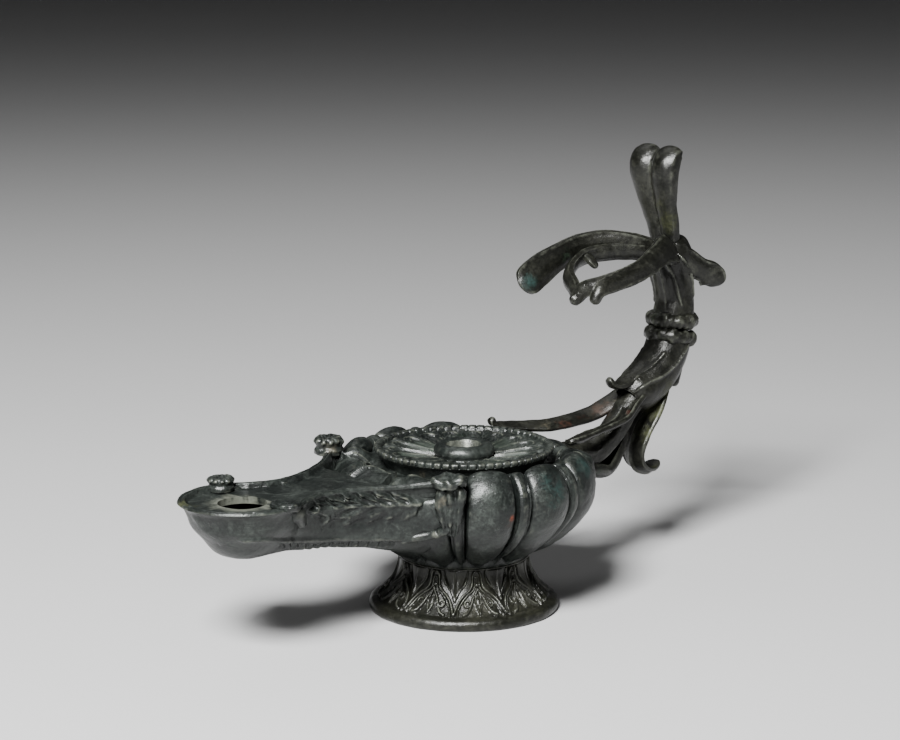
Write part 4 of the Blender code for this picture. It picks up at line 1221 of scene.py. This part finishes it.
def two_faced(turn, front, back):
    """Closed section from the height of its front and of its back at each share across."""
    return np.stack([np.cos(turn), np.where(np.sin(turn) >= 0, front, -back)], axis=1)


def leaf_section(edge=0.75, rib=0.55, hollow=0.30, back=0.85, count=44):
    """Closed section of a leaf, in shares of its half-width and half-thickness: a round back,
    and a front that is hollow between a midrib and two raised edges."""
    turn = np.arange(count) * 2 * np.pi / count
    s = np.cos(turn)
    front = 0.35 + edge * soft_line(np.abs(s) - 0.84, 0.13) + rib * soft_line(s, 0.11) - hollow * (1 - s**2)
    return two_faced(turn, front * blunt(s), back * np.sqrt(np.clip(1 - s**2, 0, 1)))


def keeled_section(count=44):
    """Closed section of a folded leaf: flat in front, and a low roof with a sharp midrib and
    raised edges behind."""
    turn = np.arange(count) * 2 * np.pi / count
    s = np.cos(turn)
    roof = 0.35 * blunt(s) + 1.05 * (1 - np.abs(s)) + 0.42 * soft_line(s, 0.075)
    roof = roof + 0.30 * soft_line(np.abs(s) - 0.88, 0.07)
    return two_faced(turn, 0.45 * blunt(s), roof)


def tongue_section(edge=0.10, count=44):
    """Closed section of a fleshy leaf: an ellipse with a thin raised line near each edge."""
    turn = np.arange(count) * 2 * np.pi / count
    swell = 1 + edge * soft_line(np.abs(np.cos(turn)) - 0.90, 0.06)
    return np.stack([np.cos(turn) * swell, np.sin(turn) * swell], axis=1)


STALK = [
    (-1.5, 0, 0, 6.2, 5.2), (8, 0, 1, 5.6, 5), (17, 0, 0.5, 5.2, 4.4), (27, 0, 6, 4.6, 4),
    (36, 0, 15, 4.4, 4), (45, 0, 21, 4.5, 4),
]
SHEATH = [
    (33.5, 0, 14.8, 7.0, 6.6), (38.5, 0, 18, 7.6, 7.2), (45.3, 0, 21.8, 7.8, 7.4),
    (51, 0, 27.5, 7.7, 7.4), (54.3, 0, 34, 7.7, 7.4), (55.3, 0, 40, 7.5, 7.2),
]
SHEATH_MOUTH = [(30, 0, 12.4, 5.9, 5.4), (35, 0, 15.8, 5.2, 4.8), (38.5, 0, 18.0, 4.4, 4.2)]
BELL = [
    (55.3, 0, 36, 7.6, 7.4), (56.0, 0, 43, 7.2, 7.0), (56.3, 0, 49, 6.8, 6.6),
    (55.3, 0, 57, 7.6, 7.4), (53.6, 0, 63, 8.2, 8.0), (52.4, 0, 67.5, 6.4, 6.4),
    (51.8, 0, 70, 3.5, 3.5),
]
REAR_LEAF = [
    (54.2, 0, 28, 2.0, 1.2), (51.6, 0, 21.5, 4.0, 1.3), (48.2, 0, 15.5, 5.4, 1.3),
    (44.2, 0, 9.6, 6.0, 1.3), (40.0, 0, 4, 5.8, 1.3), (38.0, 0, -1.5, 5.2, 1.3),
    (39.5, 0, -6.3, 4.7, 1.4), (44.5, 0, -8.4, 3.9, 1.4), (49.5, 0, -6.6, 2.4, 1.2),
]
REAR_STALK = [
    (61.0, 0, 32, 1.9, 1.9), (58.8, 0, 25, 1.9, 1.9), (57.0, 0, 20, 2.0, 2.0),
    (56.3, 0, 17.5, 2.1, 2.1),
]
CLASP = [
    (8, 0, -2, 7.5, 3.6), (17, 0, -4.0, 7.0, 3.4), (23, 0, -5.0, 5.5, 3.2),
    (29, 0, 0.5, 4.2, 2.8), (34, 0, 6.5, 2.0, 1.6),
]
CURL = [
    (38, 0, 23.5, 3.6, 1.6), (31.5, 0, 21.6, 2.8, 1.3), (27.6, 0, 22.0, 2.1, 1.3),
    (25.8, 0, 24.6, 1.3, 1.2),
]
UPRIGHT = [
    (52.0, 2.4, 66, 2.8, 2.6), (50.4, 3.0, 73, 3.2, 2.9), (47.8, 3.7, 81, 3.7, 3.2),
    (46.0, 4.6, 89, 4.6, 3.7), (46.2, 5.0, 94, 5.0, 3.9), (48.3, 5.0, 97.2, 4.7, 2.6),
    (51.5, 4.9, 96.0, 3.1, 1.7),
]
SPOON_LEAF = [
    (53, 2, 63, 3.6, 2.1), (44, 5.5, 65.8, 3.8, 1.9), (36, 12.6, 67.4, 3.7, 1.7),
    (28, 17.0, 66.0, 3.8, 1.7), (20, 18.2, 63.2, 4.3, 1.7), (12, 17.8, 60.2, 4.9, 1.6),
    (5.5, 17.2, 57.2, 4.8, 1.5), (1.8, 17.0, 55.4, 3.0, 1.2),
]
SLIM_LEAF = [
    (53, 2, 63, 4.9, 2.3), (46, 6.5, 65.8, 4.8, 2.3), (37, 11.2, 65.4, 3.7, 2.1),
    (28, 14.8, 63.4, 3.3, 2.0), (19, 17.0, 61.6, 3.0, 1.9), (10, 18.0, 60.2, 2.7, 1.8),
    (3, 18.2, 58.4, 2.2, 1.6), (0.4, 18.0, 54.2, 1.4, 1.2),
]
TENDRIL = [
    (50, 2, 63, 2.9, 2.0), (43, 5.5, 64.2, 2.9, 1.9), (36, 10.4, 64.2, 2.8, 1.8),
    (28, 13.6, 63.0, 2.8, 1.8), (21, 12.6, 60.6, 2.8, 1.8), (15.5, 8.8, 58.2, 2.7, 1.8),
    (12, 2.6, 56, 2.5, 1.8), (10.6, 0.4, 53.0, 2.0, 1.6), (8.6, 0.2, 51.2, 1.4, 1.2),
]
TONGUE = [(28, 13.4, 63.6, 2.2, 1.4), (27, 10.6, 62.6, 2.0, 1.4), (28.2, 8.2, 59.8, 1.3, 1.0)]
BACK_LEAF = [
    (52, 3, 62, 5.6, 2.6), (56.6, 5.8, 60.0, 4.7, 2.3), (60.4, 8.0, 58.0, 3.6, 1.9),
    (63.2, 9.2, 56.4, 4.2, 1.9), (64.7, 9.8, 54.0, 4.5, 1.9), (65.2, 9.9, 51.8, 3.2, 1.5),
]
STRUT_END = [
    (11.5, 1.62, -0.1, 3.6), (15.5, 1.10, 0.0, 3.4), (21.5, 0.62, 0.3, 3.0),
    (27.5, 0.25, 0.7, 2.5), (31.0, 0.02, 1.2, 1.9), (32.0, -0.12, 3.8, 1.2),
]


def strut_path(mirror):
    """The leaf from the sheath's mouth down beside the discus. Its far end follows the bowl."""
    rows = []
    for x, y, z, half in ((39.5, 3.0, 19.0, 3.4), (31.5, 5.0, 14.8, 3.5), (24, 7.4, 11.4, 3.5)):
        rows.append((ROOT_X + x, y * mirror, ROOT_Z + z, half, 1.35, 0.15, mirror, 0.35))
    inner = 1.185 * DISCUS_RADIUS
    for angle, share, lift, half in STRUT_END if mirror > 0 else STRUT_END[:-1]:
        radius, turn = inner + (BELLY_RADIUS - inner) * share, math.radians(angle)
        place = (radius * math.cos(turn), radius * math.sin(turn) * mirror, SHOULDER + lift)
        rows.append((*place, half, 1.25, 0.15, mirror, 0.25))
    return smooth_curve(rows, 90)


# %% The stem: stalk, sheath, collar and bell
def collar(x, z, lean, shift):
    """One knotted ring of the collar: a thick bead that swells and narrows as it goes round."""
    angles = np.arange(120) * 2 * np.pi / 120
    knots = 0.97 + 0.10 * np.sin(5 * angles + shift) + 0.07 * np.sin(11 * angles + 2 * shift)
    turn = np.linspace(0, 2 * np.pi, 25)[:-1, None]
    radii = 6.8 + 2.2 * knots * np.cos(turn)
    heights = 2.5 * knots * np.sin(turn)
    ring = np.stack([radii * np.cos(angles), radii * np.sin(angles), heights], axis=-1)
    cos, sin = math.cos(lean), math.sin(lean)
    tilt = np.array([[cos, 0, sin], [0, 1, 0], [-sin, 0, cos]])
    skin = closed_ring(ring @ tilt.T + (ROOT_X + x, 0, ROOT_Z + z))
    return raised(skin, 0.18 * bumps(skin[0], 2.6, shift) + 0.08 * bumps(skin[0], 1.2, shift))


def skin_line(turn, along, places, half, high):
    """A raised line on a stem: places are rows of a share along it and an angle round it."""
    table = smooth_curve(places, 40)
    centre = np.interp(along, table[:, 0], table[:, 1])
    away = (turn - centre + np.pi) % (2 * np.pi) - np.pi
    inside = ease((along - table[0, 0]) / 0.05) * ease((table[-1, 0] - along) / 0.05 + 1)
    return high * soft_line(away, half) * inside


# Hollows in the bell: angle, width, share along, length and depth.
BELL_HOLLOWS = [(3.05, 0.30, 0.50, 0.13, 0.17), (2.25, 0.28, 0.36, 0.14, 0.10)]


def make_bell():
    """The bell: a round stem with the edges of its leaves wrapped round it. Its sides are hollow
    under the back leaves, and the leaves' edges meet at its top."""
    rows, count = 110, 128
    turn = np.arange(count) * 2 * np.pi / count
    along = np.linspace(0, 1, rows)[:, None]
    swell = 0.025 * np.cos(5 * turn + 3 * along)
    for side in (1, -1):
        middle = np.pi / 2 + side * (turn - np.pi / 2)
        for places, high in (
            ([(0.22, 2.75), (0.45, 2.45), (0.70, 2.15), (0.95, 1.95)], 0.085),
            ([(0.30, 3.55), (0.50, 3.30), (0.72, 2.75), (0.95, 2.25)], 0.085),
            ([(0.15, 1.95), (0.40, 1.85), (0.65, 1.80)], 0.05),
        ):
            swell = swell + skin_line(middle, along, places, 0.075, 1.5 * high)
        for place, half, share, long, deep in BELL_HOLLOWS:
            away = (middle - place + np.pi) % (2 * np.pi) - np.pi
            swell = swell - deep * soft_line(away, half) * soft_line(along - share, long)
    return sweep(handle_path(BELL, rows), round_section(count)[None] * (0.97 + swell)[..., None])


def make_sheath():
    """The sheath: smooth and round, with its leaf's edges as fine lines that run slanting up."""
    rows, count = 100, 112
    turn = np.arange(count) * 2 * np.pi / count
    along = np.linspace(0, 1, rows)[:, None]
    swell = 0.030 * np.cos(4 * turn + 5 * along) * ease(1 - along / 0.6)
    for side in (1, -1):
        middle = np.pi / 2 + side * (turn - np.pi / 2)
        for places, high in (
            ([(0.02, 2.35), (0.30, 2.65), (0.62, 3.10), (0.90, 3.50)], 0.07),
            ([(0.02, 1.85), (0.30, 2.05), (0.60, 2.30)], 0.045),
        ):
            swell = swell + skin_line(middle, along, places, 0.065, 1.4 * high)
    return sweep(handle_path(SHEATH, rows), round_section(count)[None] * (0.99 + swell)[..., None])


def make_handle():
    plain, leaf, tongue = round_section(44), leaf_section(), tongue_section()
    spoon_slant, slim_slant = (0.0, 0.25, -0.97), (0.0, 0.60, -0.80)
    forms = [
        sweep(handle_path(STALK, 70), tongue),
        make_sheath(),
        make_bell(),
        sweep(handle_path(REAR_STALK, 30), plain),
        sweep(handle_path(REAR_LEAF, 90), keeled_section()),
        sweep(handle_path(CLASP, 60), leaf_section(0.35, 0.35, 0.0, 0.95)),
        sweep(handle_path(CURL, 40), tongue),
        sweep(handle_path(TONGUE, 30, (1.0, 0.2, 0.0)), tongue),
        collar(54.9, 35.2, 0.20, 0.7),
        collar(55.9, 40.6, 0.08, 2.9),
    ]
    for mirror, front_leaf, slant in ((1, SPOON_LEAF, spoon_slant), (-1, SLIM_LEAF, slim_slant)):
        front = handle_path(front_leaf, 100, slant, mirror)
        if mirror > 0:
            front[:, 6] = np.linspace(0.6, -0.45, 100)
        forms += [
            sweep(strut_path(mirror), leaf),
            sweep(front, tongue_section(0.16)),
            sweep(handle_path(TENDRIL, 100, (0.0, 0.45, -0.9), mirror), tongue_section(0.14)),
            sweep(handle_path(UPRIGHT, 80, (0.0, 1.0, 0.0), mirror), tongue_section(0.07)),
            sweep(handle_path(BACK_LEAF, 56, (0.35, 0.5, 0.8), mirror), tongue_section(0.16)),
        ]
    forms = [weathered(form, 0.14, 0.7 * k) for k, form in enumerate(forms)]
    mouth = sweep(handle_path(SHEATH_MOUTH, 20), plain)
    forms[1] = fused([forms[1]], [mouth])
    seat = bowl_grid(84, 384, -0.08)
    flat = seat[:1] * 0
    seat = closed_skin(np.concatenate([flat + (0, 0, BOWL_BASE), seat, flat + (0, 0, DISCUS_FOOT)]))
    return softened(fused(forms, [seat]), 3, 0.6, 0.05)


handle_skin = make_handle()
print("handle:", len(handle_skin[1]), "triangles")

# %% [markdown]
# ## Stains
#
# A few spots of colour stand out on the dark patina: a red spot and blue-green on the lobes
# near the handle, red-brown along the strut behind the discus, olive on the rear leaf and the
# uprights, blue-green on the tip of the forward leaf, dark green in the dish, and pale earth
# in the folds round the volutes. They could be painted by hand on each mesh. Each is a soft
# ball of colour in space instead, and any mesh takes what falls on it, however it changes.

# %% Places and colours of the stains
RUST, RED, BROWN = (0.17, 0.040, 0.020), (0.062, 0.018, 0.010), (0.034, 0.018, 0.011)
TEAL, GREEN, MOSS = (0.014, 0.035, 0.031), (0.025, 0.042, 0.026), (0.010, 0.0160, 0.0105)
OLIVE, EARTH = (0.036, 0.040, 0.015), (0.090, 0.080, 0.055)
STAINS += [
    (-14.8, -37.4, 38.2, 1.7, RUST, 0.90),
    (-15.2, -37.2, 36.6, 2.6, BROWN, 0.60),
    (19.0, -34.5, 47.6, 7.0, TEAL, 0.62),
    (1.8, -41.2, 44.1, 8.0, TEAL, 0.55),
    (-2.6, -39.7, 47.1, 5.0, TEAL, 0.52),
    (-9.0, -40.5, 30.0, 7.0, GREEN, 0.50),
    *[(16.5 * math.cos(0.9 * k), 16.5 * math.sin(0.9 * k), 49.0, 6.5, MOSS, 0.95) for k in range(7)],
    (8.5, -11.0, 50.2, 5.0, GREEN, 0.60),
    (-5.8, 11.9, 49.7, 6.0, GREEN, 0.60),
    (36.0, 3.0, 51.0, 8.0, BROWN, 0.80),
    (49.6, 5.7, 49.9, 5.0, RED, 0.55),
    (65.1, 5.1, 53.5, 6.0, BROWN, 0.62),
    (58.0, 6.0, 52.0, 4.0, RED, 0.50),
    (44.0, 8.0, 50.0, 5.0, EARTH, 0.48),
    (72.0, 4.0, 56.0, 5.0, EARTH, 0.50),
    (66.4, -6.5, 54.1, 2.4, RED, 0.60),
    (85.5, -6.3, 58.5, 6.0, OLIVE, 0.75),
    (82.8, -3.1, 51.6, 6.0, OLIVE, 0.80),
    (78.0, -3.4, 44.8, 5.0, OLIVE, 0.70),
    (83.6, -2.8, 32.5, 4.0, OLIVE, 0.45),
    (85.4, -5.1, 114.7, 6.0, OLIVE, 0.66),
    (82.8, -3.9, 120.4, 5.0, OLIVE, 0.60),
    (43.0, 16.5, 96.5, 5.0, TEAL, 0.66),
    (59.8, 16.9, 103.5, 5.0, GREEN, 0.50),
    (-103.3, 6.5, 49.5, 6.0, OLIVE, 0.70),
    (-80.4, 4.0, 44.0, 4.5, OLIVE, 0.60),
    (-82.0, 1.0, 40.0, 8.0, OLIVE, 0.80),
    (4.5, 3.5, 48.0, 5.0, GREEN, 0.85),
    (-33.0, 25.7, 51.8, 4.5, EARTH, 0.50),
    (-34.6, -27.8, 43.8, 4.5, EARTH, 0.45),
    (-33.0, -27.0, 50.0, 4.0, EARTH, 0.45),
    (-24.0, -8.0, 48.5, 4.0, EARTH, 0.45),
    (52.9, -5.6, 34.6, 6.0, GREEN, 0.50),
    (85.6, 0.3, 82.9, 6.0, GREEN, 0.40),
]

# %% The three castings, finished
finished("bowl_with_nozzle", "lamp_body", body_skin, bowl_bronze)
finished("carved_foot", "foot", foot_skin, foot_bronze)
finished("leafy_handle", "handle", handle_skin, handle_bronze)

# %% [markdown]
# ## Floor, light and camera
#
# A plain pale floor runs far back and up into a plain wall. A soft lamp stands high on the
# left, as the shadows in the photograph say, a weak one hangs behind and above, and a weaker
# one fills from the right. The camera was solved from the photograph: the foot's ellipse gives
# its height, and the lamp's three directions its place.

# %% Floor
# Distance from the lamp and height, in metres.
FLOOR_PROFILE = [(0.3, 0.0), (1.5, 0.0), (3.0, 0.0), (4.2, 0.03), (4.9, 0.5), (5.2, 1.5), (5.2, 2.4)]


def make_floor():
    """A round sheet, level to beyond the picture's top and then curved up all round."""
    rows, columns = 40, 120
    profile = smooth_curve(FLOOR_PROFILE, rows)
    profile[0, 0] = 0.0
    points = turned(np.maximum(profile, 0.0), columns)
    index = np.arange(rows * columns).reshape(rows, columns)
    after = np.roll(index, -1, axis=1)
    faces = np.stack([index[:-1], after[:-1], after[1:], index[1:]], axis=-1).reshape(-1, 4)
    mesh = bpy.data.meshes.new("floor")
    mesh.from_pydata(points.reshape(-1, 3), [], faces.tolist())
    mesh.validate()
    mesh.shade_smooth()
    paper = bpy.data.materials.new("pale paper")
    paper.use_nodes = True
    sheet = paper.node_tree.nodes["Principled BSDF"]
    sheet.inputs["Base Color"].default_value = (0.36, 0.36, 0.36, 1)
    sheet.inputs["Roughness"].default_value = 0.9
    mesh.materials.append(paper)
    floor = bpy.data.objects.new("floor", mesh)
    bpy.context.scene.collection.objects.link(floor)


make_floor()


# %% Lights
def soft_light(name, direction, away, size, power):
    """A square soft light at a distance from the lamp's middle, turned towards it."""
    lamp = bpy.data.lights.new(name, "AREA")
    lamp.shape = "SQUARE"
    lamp.size = size
    lamp.energy = power
    made = bpy.data.objects.new(name, lamp)
    pointing = np.asarray(direction, float) / np.linalg.norm(direction)
    made.location = pointing * away + (0, 0, 0.05)
    lean = math.atan2(math.hypot(pointing[0], pointing[1]), pointing[2])
    made.rotation_euler = (lean, 0, math.atan2(pointing[1], pointing[0]) + math.pi / 2)
    bpy.context.scene.collection.objects.link(made)


soft_light("key", (-0.63, -0.37, 0.68), 1.1, 0.30, 66)
soft_light("top", (0.15, 0.45, 0.88), 1.3, 0.7, 2.6)
soft_light("fill", (0.75, -0.60, 0.35), 1.4, 0.8, 1.6)
world = bpy.data.worlds.new("studio")
world.use_nodes = True
world.node_tree.nodes["Background"].inputs["Color"].default_value = (0.75, 0.76, 0.78, 1)
world.node_tree.nodes["Background"].inputs["Strength"].default_value = 0.035
bpy.context.scene.world = world

# %% Camera
camera_data = bpy.data.cameras.new("camera")
camera_data.lens = 99.8
camera_data.sensor_width = 36.0
camera_data.sensor_fit = "HORIZONTAL"
camera = bpy.data.objects.new("camera", camera_data)
camera.location = (-0.50853926, -0.56479007, 0.228)
camera.rotation_euler = tuple(math.radians(a) for a in (78.6698, 0.0, -41.6682))
bpy.context.scene.collection.objects.link(camera)
bpy.context.scene.camera = camera
